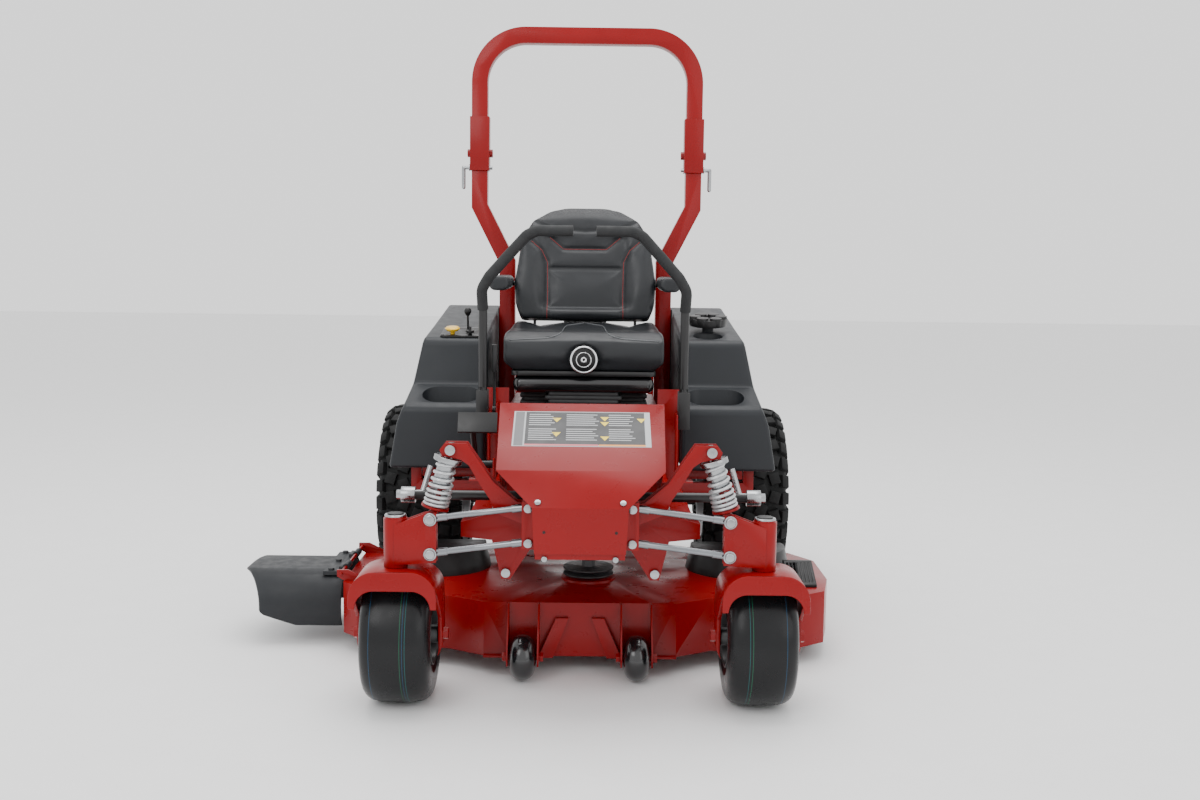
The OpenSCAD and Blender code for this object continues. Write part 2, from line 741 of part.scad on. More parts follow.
module hoop_profile(inset) {
    run = bar_w - 2 * bar_corner;
    mid = bar_corner - tube / 2;
    low = fold_z + 42;
    for (s = [-1, 1]) sided(s) {
        translate([leg_x, post_y, low]) linear_extrude(height = bar_top - bar_corner - low) square_tube_2d(inset);
        translate([run / 2, post_y, bar_top - bar_corner]) rotate([90, 0, 0])
            rotate_extrude(angle = 90, $fn = 96) translate([mid, 0]) square_tube_2d(inset);
    }
    translate([-run / 2, post_y, bar_top - tube / 2]) rotate([0, 90, 0])
        linear_extrude(height = run) square_tube_2d(inset);
}

module rops_hoop() color(RED) {
    front = post_y - tube / 2;
    half = tube / 2 + 1;
    difference() {
        hoop_profile(0);
        hoop_profile(tube_wall);
    }
    for (s = [-1, 1]) sided(s) translate([leg_x, 0, 0]) {
        difference() {
            box([-half - channel_t, half + channel_t], [front - 1 - channel_t, post_y + tube / 2],
                [channel_low, channel_high]);
            box([-half, half], [front - 1, post_y + 60], [channel_low - 1, fold_z + 42]);
            box([-tube / 2 + 0.2, tube / 2 - 0.2], [front + 0.2, post_y + 60], [fold_z + 41, channel_high + 1]);
            along_x([0, post_y, pin_z], pin_r + fit, 90);
        }
        // Pivot bolt through the channel and the post.
        along_x([0, post_y, fold_z], 8, 2 * half + 2 * channel_t + 6);
        for (x = [-1, 1]) hex_x([x * (half + channel_t + 5), post_y, fold_z], 26, 10);
    }
}

module lock_pin(s) color(ZINC) sided(s) translate([leg_x, post_y, 0]) {
    along_x([8, 0, pin_z], pin_r, 96);
    translate([54, 0, pin_z]) sphere(r = pin_r);
    translate([54, 0, pin_z - 64]) cylinder(r = pin_r, h = 64);
    translate([54, 0, pin_z - 64]) sphere(r = pin_r);
    along_x([34.6, 0, pin_z], 11, 3);
}

// ---- seat ----

module seat_boot() color(BLACK) {
    box([-200, 200], [650, 1010], [640 + gap, 662]);
    for (i = [0 : 2]) {
        translate([0, 830, 662 + i * 24]) linear_extrude(height = 15) round_rect(408, 376, 40);
        translate([0, 830, 660 + i * 24]) linear_extrude(height = 26) round_rect(388, 356, 34);
    }
}

module seat_pan() color(BLACK) {
    translate([0, 845, 735.5]) linear_extrude(height = 14) round_rect(420, 400, 30);
    for (s = [-1, 1]) sided(s) {
        // Hinge ears of the backrest.
        slab_yz(150, 156) polygon([[985, 736], [1075, 736], [1100, 790], [1095, 812], [1065, 812], [1040, 749],
            [985, 749]]);
        along_x([163, 1082, 795], 8, 26);
    }
}

module seat_cushion() color(VINYL) {
    w = seat_w / 2;
    difference() {
        intersection() {
            translate([0, 1100, 0]) rotate([90, 0, 0]) linear_extrude(height = 462) polygon([
                [-w + 30, 750], [w - 30, 750], [w, 775], [w, 850], [w - 14, seat_z - 4], [w - 60, seat_z - 6],
                [140, 860], [60, 872], [-60, 872], [-140, 860], [-w + 60, seat_z - 6], [-w + 14, seat_z - 4],
                [-w, 850], [-w, 775]]);
            slab_yz(-w, w) polygon([[652, 750], [640, 790], [646, 838], [690, 862], [900, 858],
                [1040, seat_z], [1090, seat_z], [1096, 800], [1070, 750]]);
        }
        // Room for the hinge ears of the backrest.
        for (s = [-1, 1]) sided(s) box([145, 180], [1030, 1110], [740, 900]);
        along_y([0, 660, 785], 9 + fit, 60);
    }
}

module weight_knob() color(BLACK) {
    along_y([0, 656, 785], 9, 50);
    along_y([0, 630, 785], 40, 16);
    for (a = [0 : 30 : 330]) translate([40 * cos(a), 630, 785 + 40 * sin(a)]) rotate([90, 0, 0])
        cylinder(r = 3.5, h = 15, center = true, $fn = 16);
    color(ZINC) along_y([0, 620.5, 785], 27, 5);
}

module backrest() color(VINYL) {
    w = back_w / 2;
    lean = 12;
    translate([0, 1060, seat_z + 3]) rotate([-lean, 0, 0]) difference() {
        intersection() {
            translate([0, 60, 0]) rotate([90, 0, 0]) linear_extrude(height = 140) polygon([
                [-w + 22, 0], [w - 22, 0], [w - 4, 40], [w, 110], [w - 20, 250], [w - 55, 310],
                [w - 110, 346], [60, 359], [-60, 359], [-w + 110, 346], [-w + 55, 310], [-w + 20, 250],
                [-w, 110], [-w + 4, 40]]);
            slab_yz(-w, w) polygon([[-58, 0], [-66, 60], [-60, 150], [-50, 300], [-20, 360], [10, 360],
                [34, 300], [38, 100], [24, 0]]);
        }
        // Valley between the side bolsters.
        translate([0, -70, 30]) linear_extrude(height = 230) polygon([[-160, 0], [160, 0], [128, 26], [-128, 26]]);
    }
    for (s = [-1, 1]) sided(s) {
        difference() {
            slab_yz(157, 165) polygon([[1068, 780], [1100, 780], [1112, 900], [1080, 900]]);
            along_x([160, 1082, 795], 8 + fit, 60);
        }
        // Armrest brackets.
        box([195, 225], [1062, 1096], [976, 1010]);
        along_x([228, 1079, 993], 8, 40);
    }
}

module armrest(s) color(BLACK) sided(s) {
    difference() {
        union() {
            translate([armrest_x, 948, 998]) rotate([90, 0, 0]) linear_extrude(height = 295, center = true)
                round_rect(60, 44, 18);
            box([armrest_x - 14, armrest_x + 14], [1060, 1098], [975, 1012]);
        }
        along_x([armrest_x, 1079, 993], 8 + fit, 80);
    }
}

// ---- hand controls ----

module pto_knob() color(YELLOW) on_panel(pto_at[0], pto_at[1]) {
    translate([0, 0, -22]) cylinder(r = 7, h = 36);
    translate([0, 0, 13]) cylinder(r1 = 16, r2 = 23, h = 8);
    translate([0, 0, 21]) cylinder(r1 = 23, r2 = 17, h = 5);
}

module choke_knob() color(BLACK) on_panel(choke_at[0], choke_at[1]) {
    translate([0, 0, -22]) cylinder(r = 5, h = 34);
    translate([0, 0, 10]) cylinder(r = 12, h = 7);
    translate([0, 0, 22]) cube([6, 22, 14], center = true);
}

module throttle_lever() color(BLACK) on_panel(throttle_at[0], throttle_at[1]) translate([0, 0, -22]) {
    difference() {
        union() {
            cylinder(r = 3, h = 82);
            rotate([0, 90, 0]) cylinder(r = 7, h = 12, center = true);
            translate([0, 0, 72]) cylinder(r1 = 5, r2 = 11, h = 12);
            translate([0, 0, 86]) sphere(r = 11);
        }
        rotate([0, 90, 0]) cylinder(r = 3 + fit, h = 30, center = true);
    }
}

module height_dial() color(BLACK) at_dial() {
    translate([0, 0, -54]) cylinder(r = 7, h = 70);
    cylinder(r = 26, h = 20);
    for (a = [0 : 60 : 300]) rotate([0, 0, a]) translate([40, 0, 4]) cylinder(r = 18, h = 24);
    difference() {
        cylinder(r = 56, h = 22);
        translate([0, 0, 6]) cylinder(r = 42, h = 30);
    }
}

module brake_lever() color(BLACK) translate([-254, 605, 640]) {
    difference() {
        union() {
            along_x([0, 0, 0], 13, 10);
            box([-4, 4], [-6, 6], [0, 120]);
            box([-7, 7], [-10, 10], [110, 188]);
        }
        along_x([0, 0, 0], 6 + fit, 40);
    }
}

module lift_pedal() color(BLACK) translate(pedal_pivot) {
    difference() {
        along_x([-14, 0, 0], 11, 56);
        along_x([-14, 0, 0], 6 + fit, 80);
    }
    rod_between([-32, -7, 7], [-32, -130, 130], 8);
    translate([-16, -132, 132]) rotate([66, 0, 0]) translate([-52, -27, -5]) cube([104, 54, 12]);
}

// ---- deck ----

module deck_outline(t) {
    x0 = deck_x - deck_w / 2 + t;
    x1 = deck_x + deck_w / 2 - t;
    polygon([[-250, 205 + t], [250, 205 + t], [345, 262 + t], [x1 - 120, 285 + t], [x1 - 30, 350 + t],
        [x1, 480], [x1, 700], [x1 - 60, 800 - t], [x1 - 180, 868 - t], [x0 + 170, 868 - t],
        [x0 + 50, 800 - t], [x0, 745 - t], [x0, 400 + t], [x0 + 90, 300 + t], [-345, 262 + t]]);
}

module roller_bracket(x) {
    for (d = [-1, 1]) slab_yz(x + d * 39 - 2, x + d * 39 + 2)
        polygon([[roller_y - 24, roller_z - 18], [roller_y + 24, roller_z - 18], [209, deck_z + 10],
            [209, deck_top], [190, deck_top], [roller_y - 24, roller_z + 26]]);
}

module deck_shell() color(RED) {
    difference() {
        translate([0, 0, deck_z]) linear_extrude(height = deck_h) deck_outline(0);
        translate([0, 0, deck_z - 1]) linear_extrude(height = deck_h - deck_t + 1) deck_outline(deck_t);
        // Discharge opening on the right side.
        box([deck_x - deck_w / 2 - 10, deck_x - deck_w / 2 + 20], [440, 715], [deck_z - 5, deck_top - deck_t - 2]);
        for (i = [0 : 2]) translate([blade_x[i], blade_y[i], deck_top - 20]) cylinder(r = 40, h = 40);
    }
    // Stiffening ribs on the front wall and the bottom edge flange.
    for (s = [-1, 1]) sided(s) {
        slab_xz(196, 16) polygon([[70, deck_z], [108, deck_z], [62, 150], [30, 150]]);
        box([188, 250], [186, 206], [deck_z, deck_z + 5]);
        roller_bracket(roller_x);
        along_x([roller_x, roller_y, roller_z], 8, 92);
        for (d = [-1, 1]) hex_x([roller_x + d * 47, roller_y, roller_z], 24, 10);
    }
    // Spindle housings.
    for (i = [0 : 2]) translate([blade_x[i], blade_y[i], 0]) difference() {
        union() {
            translate([0, 0, 105]) cylinder(r = 38, h = deck_top - 95);
            translate([0, 0, deck_top]) cylinder(r = 75, h = 6);
        }
        translate([0, 0, 100]) cylinder(r = spindle_r + fit, h = 200);
    }
    // Lugs and rod of the chute hinge.
    x0 = deck_x - deck_w / 2;
    for (y = [chute_y[0] - 12, chute_y[1] + 4]) slab_xz(y + 4, 8)
        polygon([[x0 + 60, deck_top - 1], [x0 + 3, deck_top - 1], [chute_hinge_x - 11, chute_hinge_z - 8],
            [chute_hinge_x - 11, chute_hinge_z + 10], [x0 + 12, chute_hinge_z + 10], [x0 + 60, deck_top + 6]]);
    along_y([chute_hinge_x, (chute_y[0] + chute_y[1]) / 2, chute_hinge_z], 5, chute_y[1] - chute_y[0] + 40);
}

module deck_covers() color(BLACK) {
    for (i = [0, 2]) difference() {
        translate([blade_x[i], blade_y[i], deck_top]) cylinder(r1 = 150, r2 = 136, h = 66);
        translate([blade_x[i], blade_y[i], deck_top - 1]) cylinder(r1 = 146, r2 = 132, h = 62);
        box([blade_x[i] - 200, blade_x[i] + 200], [blade_y[i] + 40, blade_y[i] + 200], [deck_top - 1, deck_top + 100]);
    }
    // Ribbed foot pad on the left front corner.
    difference() {
        slab_yz(566, 645) polygon([[385, deck_top], [500, deck_top], [500, deck_top + 50], [480, deck_top + 53],
            [385, deck_top + 8]]);
        for (i = [0 : 6]) slab_yz(572 + i * 10, 577 + i * 10)
            polygon([[395, deck_top + 9.5], [472, deck_top + 48], [472, deck_top + 80], [395, deck_top + 80]]);
    }
}

module blade(i) color(ENGINE) translate([blade_x[i], blade_y[i], 0]) {
    difference() {
        translate([0, 0, 68]) linear_extrude(height = 6) round_rect(blade_l, 62, 4);
        for (a = [0, 180]) rotate([0, 0, a]) translate([blade_l / 2 - 55, 20, 60]) cube([60, 20, 20]);
    }
    translate([0, 0, 60]) cylinder(r = 18, h = 8.1, $fn = 6);
    translate([0, 0, 74]) cylinder(r = 30, h = 24);
    translate([0, 0, 74]) cylinder(r = spindle_r, h = deck_top + 50 - 74);
    // Belt pulley.
    translate([0, 0, deck_top + 14]) rotate_extrude($fn = 72)
        polygon([[0, 0], [70, 0], [70, 4], [58, 10], [70, 16], [70, 20], [0, 20]]);
    translate([0, 0, deck_top + 33]) cylinder(r = 18, h = 20, $fn = 6);
}

module gauge_roller(s) color(BLACK) sided(s) translate([roller_x, roller_y, roller_z]) rotate([0, 90, 0])
    difference() {
        rotate_extrude($fn = 72) tyre_section(0, roller_r, 68, 26);
        cylinder(r = 8 + fit, h = 100, center = true);
    }

module chute_arch(t) {
    w = chute_y[1] - chute_y[0];
    h = 190;
    translate([(chute_y[0] + chute_y[1]) / 2, chute_hinge_z - 10 - h / 2]) round_rect(w - 2 * t, h - 2 * t, 90 - t);
}

module discharge_chute() color(BLACK) {
    top = chute_hinge_z - 10;
    x1 = chute_hinge_x - 4;
    intersection() {
        difference() {
            slab_yz(chute_tip_x - 5, x1) chute_arch(0);
            slab_yz(chute_tip_x - 9, x1 + 4) chute_arch(8);
            box([-2000, 0], [300, 900], [0, 54]);
        }
        slab_xz(580, 400) polygon([[x1, 54], [chute_tip_x + 155, 54], [chute_tip_x + 70, 84], [chute_tip_x + 22, 122],
            [chute_tip_x + 3, 168], [chute_tip_x, top - 5], [chute_tip_x, top - 4], [chute_tip_x + 9, top], [x1, top]]);
        translate([0, 0, 0]) linear_extrude(height = 400) polygon([[x1, 400], [x1, 760], [chute_tip_x + 120, 760],
            [chute_tip_x + 30, 700], [chute_tip_x, 600], [chute_tip_x, 520], [chute_tip_x + 60, 420],
            [chute_tip_x + 140, 400]]);
    }
    // Hinge plate and knuckles.
    difference() {
        union() {
            box([chute_hinge_x - 60, chute_hinge_x - 4], [chute_y[0] + 40, chute_y[1] - 40], [top - 8, top + 3]);
            for (y = [chute_y[0] + 60, chute_y[1] - 110]) {
                along_y([chute_hinge_x, y + 25, chute_hinge_z], 9.5, 50);
                box([chute_hinge_x - 20, chute_hinge_x - 4], [y, y + 50], [top, chute_hinge_z + 2]);
            }
            for (y = [chute_y[0] + 55, 580, chute_y[1] - 55])
                translate([chute_hinge_x - 40, y, top]) cylinder(r = 9, h = 9, $fn = 6);
        }
        along_y([chute_hinge_x, 580, chute_hinge_z], 5 + fit, 400);
    }
}

// ---- output ----
place() main_frame();
place() front_head();
place() front_cowl();
place() floor_pan();
place() floor_mat();
place() fender(-1);  // fender_right
place() fender(1);  // fender_left
place() control_panel();
place() rops_posts();
place() engine_block();
place() engine_shroud();
place() transaxles();
place() front_dampers();
place() frame_fasteners();
place() seat_boot();
place() arm(-1, arm_inner_z);  // lower_arm_right
place() arm(1, arm_inner_z);  // lower_arm_left
place() arm(-1, arm_inner_z + arm_gap);  // upper_arm_right
place() arm(1, arm_inner_z + arm_gap);  // upper_arm_left
place() caster_housing(-1);  // caster_housing_right
place() caster_housing(1);  // caster_housing_left
place() front_spring(-1);  // front_spring_right
place() front_spring(1);  // front_spring_left
place() caster_fork(-1);  // caster_fork_right
place() caster_fork(1);  // caster_fork_left
place() caster_tyre(-1);  // caster_tyre_right
place() caster_tyre(1);  // caster_tyre_left
place() caster_rim(-1);  // caster_rim_right
place() caster_rim(1);  // caster_rim_left
place() drive_tyre(-1);  // drive_tyre_right
place() drive_tyre(1);  // drive_tyre_left
place() drive_rim(-1);  // drive_rim_right
place() drive_rim(1);  // drive_rim_left
place() lever_base(-1);  // lever_base_right
place() lever_base(1);  // lever_base_left
place() lap_bar(-1);  // lap_bar_right
place() lap_bar(1);  // lap_bar_left
place() rops_hoop();
place() lock_pin(-1);  // lock_pin_right
place() lock_pin(1);  // lock_pin_left
place() seat_pan();
place() seat_cushion();
place() backrest();
place() armrest(-1);  // armrest_right
place() armrest(1);  // armrest_left
place() weight_knob();
place() pto_knob();
place() choke_knob();
place() throttle_lever();
place() height_dial();
place() brake_lever();
place() lift_pedal();
place() deck_shell();
place() deck_covers();
place() blade(0);  // blade_right
place() blade(1);  // blade_centre
place() blade(2);  // blade_left
place() gauge_roller(-1);  // gauge_roller_right
place() gauge_roller(1);  // gauge_roller_left
place() discharge_chute();
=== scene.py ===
"""Zero turn mower: painted steel, moulded fenders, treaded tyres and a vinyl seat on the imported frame."""

import json
import math

import bpy
from mathutils import Matrix, Vector


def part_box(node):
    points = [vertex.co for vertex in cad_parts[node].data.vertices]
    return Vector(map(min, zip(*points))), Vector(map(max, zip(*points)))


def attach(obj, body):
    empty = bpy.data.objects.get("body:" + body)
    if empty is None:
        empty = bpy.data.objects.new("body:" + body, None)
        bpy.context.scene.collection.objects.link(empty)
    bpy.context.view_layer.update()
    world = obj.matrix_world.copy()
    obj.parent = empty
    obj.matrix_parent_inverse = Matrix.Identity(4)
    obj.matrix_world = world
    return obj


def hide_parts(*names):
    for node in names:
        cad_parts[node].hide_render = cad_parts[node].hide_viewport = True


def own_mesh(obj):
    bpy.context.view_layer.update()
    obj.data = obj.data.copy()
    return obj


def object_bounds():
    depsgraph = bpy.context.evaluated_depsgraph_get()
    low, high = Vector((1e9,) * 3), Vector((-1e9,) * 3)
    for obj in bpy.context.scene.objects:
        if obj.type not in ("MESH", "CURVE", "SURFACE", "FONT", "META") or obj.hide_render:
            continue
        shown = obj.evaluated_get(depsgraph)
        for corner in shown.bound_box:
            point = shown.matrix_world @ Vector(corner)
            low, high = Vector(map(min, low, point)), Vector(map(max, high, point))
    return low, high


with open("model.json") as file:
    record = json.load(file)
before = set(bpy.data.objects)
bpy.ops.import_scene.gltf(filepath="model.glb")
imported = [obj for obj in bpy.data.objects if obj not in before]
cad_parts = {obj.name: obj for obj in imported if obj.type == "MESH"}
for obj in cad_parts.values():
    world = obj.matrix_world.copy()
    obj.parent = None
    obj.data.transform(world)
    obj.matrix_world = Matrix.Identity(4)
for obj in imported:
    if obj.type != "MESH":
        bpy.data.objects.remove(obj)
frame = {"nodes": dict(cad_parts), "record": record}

CAD_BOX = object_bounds()
NODES = frame["nodes"]
BODY_OF = {node: body for body, nodes in frame["record"]["behaviour"]["bodies"].items() for node in nodes}
SIDES = {"right": -1, "left": 1}
MM = 0.001


# ---- modelling helpers ----

def only(*objects):
    """Select these objects and nothing else, the last one active."""
    bpy.ops.object.select_all(action="DESELECT")
    for obj in objects:
        obj.select_set(True)
    bpy.context.view_layer.objects.active = objects[-1]


def begin_edit(obj, select="SELECT"):
    only(obj)
    bpy.ops.object.mode_set(mode="EDIT")
    bpy.ops.mesh.select_all(action=select)


def end_edit():
    bpy.ops.object.mode_set(mode="OBJECT")


def apply_modifiers(obj):
    only(obj)
    for modifier in list(obj.modifiers):
        bpy.ops.object.modifier_apply(modifier=modifier.name)


def settle(obj):
    """Put an object's place, turn and scale into its mesh."""
    only(obj)
    bpy.ops.object.transform_apply(location=True, rotation=True, scale=True)


def smooth(obj, angle=35):
    only(obj)
    bpy.ops.object.shade_smooth_by_angle(angle=math.radians(angle))


def round_edges(obj, width, segments=2, angle=40):
    bevel = obj.modifiers.new("rounded edges", "BEVEL")
    bevel.width = width
    bevel.segments = segments
    bevel.limit_method = "ANGLE"
    bevel.angle_limit = math.radians(angle)
    bevel.miter_outer = "MITER_ARC"
    apply_modifiers(obj)


def copy_of(node, name):
    """A merged copy of a CAD node's mesh, with its flat faces whole."""
    obj = bpy.data.objects.new(name, NODES[node].data.copy())
    bpy.context.scene.collection.objects.link(obj)
    obj.data.materials.clear()
    begin_edit(obj)
    bpy.ops.mesh.remove_doubles(threshold=0.00002)
    bpy.ops.mesh.dissolve_limited(angle_limit=math.radians(0.3))
    end_edit()
    return obj


def fit_to(piece, body, finish, *nodes):
    """Give a finished piece its material and its body, and hide the CAD nodes that it stands for."""
    if finish is not None:
        piece.data.materials.clear()
        piece.data.materials.append(finish)
    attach(piece, body)
    if nodes:
        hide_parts(*nodes)
    return piece


def dress(node, finish, edge=1.2 * MM, segments=2):
    """A CAD node's own shape with rounded edges and a finish."""
    piece = copy_of(node, node + "_skin")
    if edge:
        round_edges(piece, edge, segments)
    smooth(piece)
    return fit_to(piece, BODY_OF[node], finish, node)


# ---- materials ----

def new_material(name):
    material = bpy.data.materials.new(name)
    material.use_nodes = True
    tree = material.node_tree
    shader = tree.nodes["Principled BSDF"]
    place = tree.nodes.new("ShaderNodeTexCoord")
    return material, tree, shader, place.outputs["Object"]


def noise(tree, coordinate, scale, detail=3.0, roughness=0.55):
    node = tree.nodes.new("ShaderNodeTexNoise")
    node.inputs["Scale"].default_value = scale
    node.inputs["Detail"].default_value = detail
    node.inputs["Roughness"].default_value = roughness
    tree.links.new(coordinate, node.inputs["Vector"])
    return node.outputs["Fac"]


def ramp(tree, value, stops):
    """A colour ramp from (position, colour or grey) stops."""
    node = tree.nodes.new("ShaderNodeValToRGB")
    while len(node.color_ramp.elements) < len(stops):
        node.color_ramp.elements.new(0.5)
    for element, (position, colour) in zip(node.color_ramp.elements, stops):
        element.position = position
        shade = colour if isinstance(colour, tuple) else (colour,) * 3
        element.color = (*shade, 1.0)
    tree.links.new(value, node.inputs["Fac"])
    return node.outputs["Color"]


def bump(tree, shader, height, strength, distance, under=None):
    node = tree.nodes.new("ShaderNodeBump")
    node.inputs["Strength"].default_value = strength
    node.inputs["Distance"].default_value = distance
    tree.links.new(height, node.inputs["Height"])
    if under is not None:
        tree.links.new(under, node.inputs["Normal"])
    tree.links.new(node.outputs["Normal"], shader.inputs["Normal"])
    return node.outputs["Normal"]


def shades(colour, low, high):
    return [tuple(c * low for c in colour), tuple(c * high for c in colour)]


def plain_finish(name, colour, rough, spread=0.06, grain=900, depth=0.00002, strength=0.25,
                 metal=0.0, coat=0.0, variation=0.12, patch=9.0, level=0.5):
    """A finish whose colour and roughness drift slightly, over a fine grain."""
    material, tree, shader, place = new_material(name)
    low, high = shades(colour, 1 - variation, 1 + variation)
    tone = ramp(tree, noise(tree, place, patch, 5), [(0.3, low), (0.7, high)])
    tree.links.new(tone, shader.inputs["Base Color"])
    gloss = ramp(tree, noise(tree, place, patch * 4, 4),
                 [(0.3, max(rough - spread, 0.02)), (0.7, rough + spread)])
    tree.links.new(gloss, shader.inputs["Roughness"])
    shader.inputs["Metallic"].default_value = metal
    shader.inputs["Coat Weight"].default_value = coat
    shader.inputs["Coat Roughness"].default_value = 0.12
    shader.inputs["Specular IOR Level"].default_value = level
    bump(tree, shader, noise(tree, place, grain, 2), strength, depth)
    return material


def powder_coat():
    """Red gloss powder coat: slight orange peel under a clear gloss."""
    return plain_finish("red_powder_coat", (0.215, 0.0011, 0.002), 0.30, 0.05, grain=420, depth=0.00010,
                        strength=0.12, coat=0.06, variation=0.07, patch=5, level=0.22)


RED = powder_coat()
CHARCOAL = plain_finish("charcoal_moulding", (0.013, 0.015, 0.018), 0.44, 0.05, grain=1500, depth=0.00012,
                        strength=0.35, variation=0.10, level=0.32)
BLACK_PLASTIC = plain_finish("black_moulding", (0.007, 0.007, 0.0075), 0.38, 0.06, grain=1300, depth=0.0001,
                             level=0.35)
BLACK_PAINT = plain_finish("satin_black_paint", (0.008, 0.008, 0.0085), 0.34, 0.06, grain=600, depth=0.00006)
RUBBER = plain_finish("moulded_rubber", (0.016, 0.017, 0.018), 0.62, 0.08, grain=1000, depth=0.00015)
CHUTE_RUBBER = plain_finish("chute_rubber", (0.013, 0.0145, 0.017), 0.52, 0.08, grain=700, depth=0.0002,
                            strength=0.4, level=0.32)
TYRE = plain_finish("tyre_rubber", (0.0055, 0.0058, 0.006), 0.72, 0.08, grain=800, depth=0.0002,
                    variation=0.25, level=0.3)
FOAM = plain_finish("foam_grip", (0.012, 0.013, 0.014), 0.75, 0.08, grain=1800, depth=0.0003, strength=0.5)
ZINC = plain_finish("bright_zinc", (0.36, 0.37, 0.38), 0.24, 0.10, grain=500, metal=1.0, variation=0.12,
                    patch=30)
SPRING = plain_finish("silver_spring", (0.52, 0.53, 0.54), 0.30, 0.06, grain=500, metal=0.65, variation=0.06)
ROD = plain_finish("polished_rod", (0.24, 0.25, 0.265), 0.14, 0.06, grain=300, metal=1.0, variation=0.10,
                   patch=25)
ENGINE = plain_finish("engine_casting", (0.020, 0.020, 0.022), 0.55, 0.10, grain=300, depth=0.0003,
                      strength=0.5)
BLADE = plain_finish("black_steel", (0.05, 0.05, 0.052), 0.40, 0.10, metal=0.6, patch=20)
RIM = plain_finish("satin_black_rim", (0.015, 0.015, 0.016), 0.36, 0.06)
SILVER_RIM = plain_finish("silver_rim", (0.42, 0.43, 0.44), 0.34, 0.06, metal=0.5)
YELLOW = plain_finish("yellow_knob", (0.80, 0.48, 0.02), 0.30, 0.05, coat=0.3, variation=0.05)
VINYL = plain_finish("grained_vinyl", (0.015, 0.0165, 0.019), 0.38, 0.06, grain=650, depth=0.0003,
                     strength=0.35, level=0.38)

THREAD = plain_finish("red_thread", (0.26, 0.012, 0.012), 0.6, variation=0.1)
PIPING = plain_finish("grey_piping", (0.10, 0.105, 0.11), 0.4, variation=0.1)
GLOSS_BLACK = plain_finish("gloss_black_moulding", (0.006, 0.006, 0.007), 0.20, 0.05, coat=0.5, variation=0.1)
CHROME = plain_finish("chrome", (0.75, 0.76, 0.78), 0.10, 0.03, metal=1.0, variation=0.05)
DECAL_SILVER = plain_finish("decal_silver", (0.42, 0.43, 0.44), 0.4, variation=0.05)
DECAL_GREY = plain_finish("decal_grey", (0.12, 0.12, 0.125), 0.4, variation=0.05)
DECAL_DARK = plain_finish("decal_dark", (0.022, 0.022, 0.024), 0.4, variation=0.08)
DECAL_YELLOW = plain_finish("decal_yellow", (0.85, 0.62, 0.02), 0.4, variation=0.04)
DECAL_PINK = plain_finish("decal_pink", (0.62, 0.14, 0.16), 0.4, variation=0.05)
DECAL_ORANGE = plain_finish("decal_orange", (0.80, 0.30, 0.03), 0.4, variation=0.05)


# ---- places, from the frame ----

def centre_of(node):
    low, high = (Vector(c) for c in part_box(node))
    return (low + high) / 2


def half_of(node):
    low, high = (Vector(c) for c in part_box(node))
    return (high - low) / 2


CENTRE_X = centre_of("rops_hoop").x
AXLE_Y = centre_of("caster_tyre_right").y


def at(x, y, z):
    """A point given in millimetres from the centre plane, the caster axle and the ground."""
    return Vector((CENTRE_X + x * MM, AXLE_Y + y * MM, z * MM))


# ---- wheels ----

def spun(name, section, centre, steps):
    """A closed section of (along, radius) points, in metres, spun about the X axis through centre."""
    bpy.ops.object.select_all(action="DESELECT")
    bpy.ops.mesh.primitive_circle_add(vertices=len(section), radius=0.01)
    obj = bpy.context.object
    obj.name = name
    for vertex, (along, radius) in zip(obj.data.vertices, section):
        vertex.co = centre + Vector((along, 0, radius))
    settle(obj)
    begin_edit(obj)
    bpy.ops.mesh.spin(steps=steps, angle=2 * math.pi, center=centre, axis=(1, 0, 0))
    bpy.ops.mesh.select_all(action="SELECT")
    bpy.ops.mesh.remove_doubles(threshold=0.00003)
    bpy.ops.mesh.normals_make_consistent(inside=False)
    end_edit()
    return obj


def tyre_section(half_width, outer, bead, shoulder, square, steps=22):
    """A hollow tyre section: a crown and shoulders of a squared ellipse down to the beads."""
    middle = outer - shoulder
    skin = []
    for step in range(steps + 1):
        turn = math.pi * (step / steps - 0.5)
        side, rise = math.sin(turn), math.cos(turn)
        skin.append((math.copysign(abs(side) ** (2 / square), side) * half_width,
                     middle + shoulder * abs(rise) ** (2 / square)))
    lower = [(half_width * 0.985, (middle + bead) / 2), (half_width * 0.9, bead + 0.012),
             (half_width * 0.86, bead)]
    inner = [(half_width * 0.80, bead), (half_width * 0.86, (middle + bead) / 2),
             (half_width * 0.84, middle), (half_width * 0.6, outer - 0.028), (0, outer - 0.024)]
    outside = [(-x, r) for x, r in reversed(lower)] + skin + lower
    inside = inner + [(-x, r) for x, r in reversed(inner[:-1])]
    return outside + inside


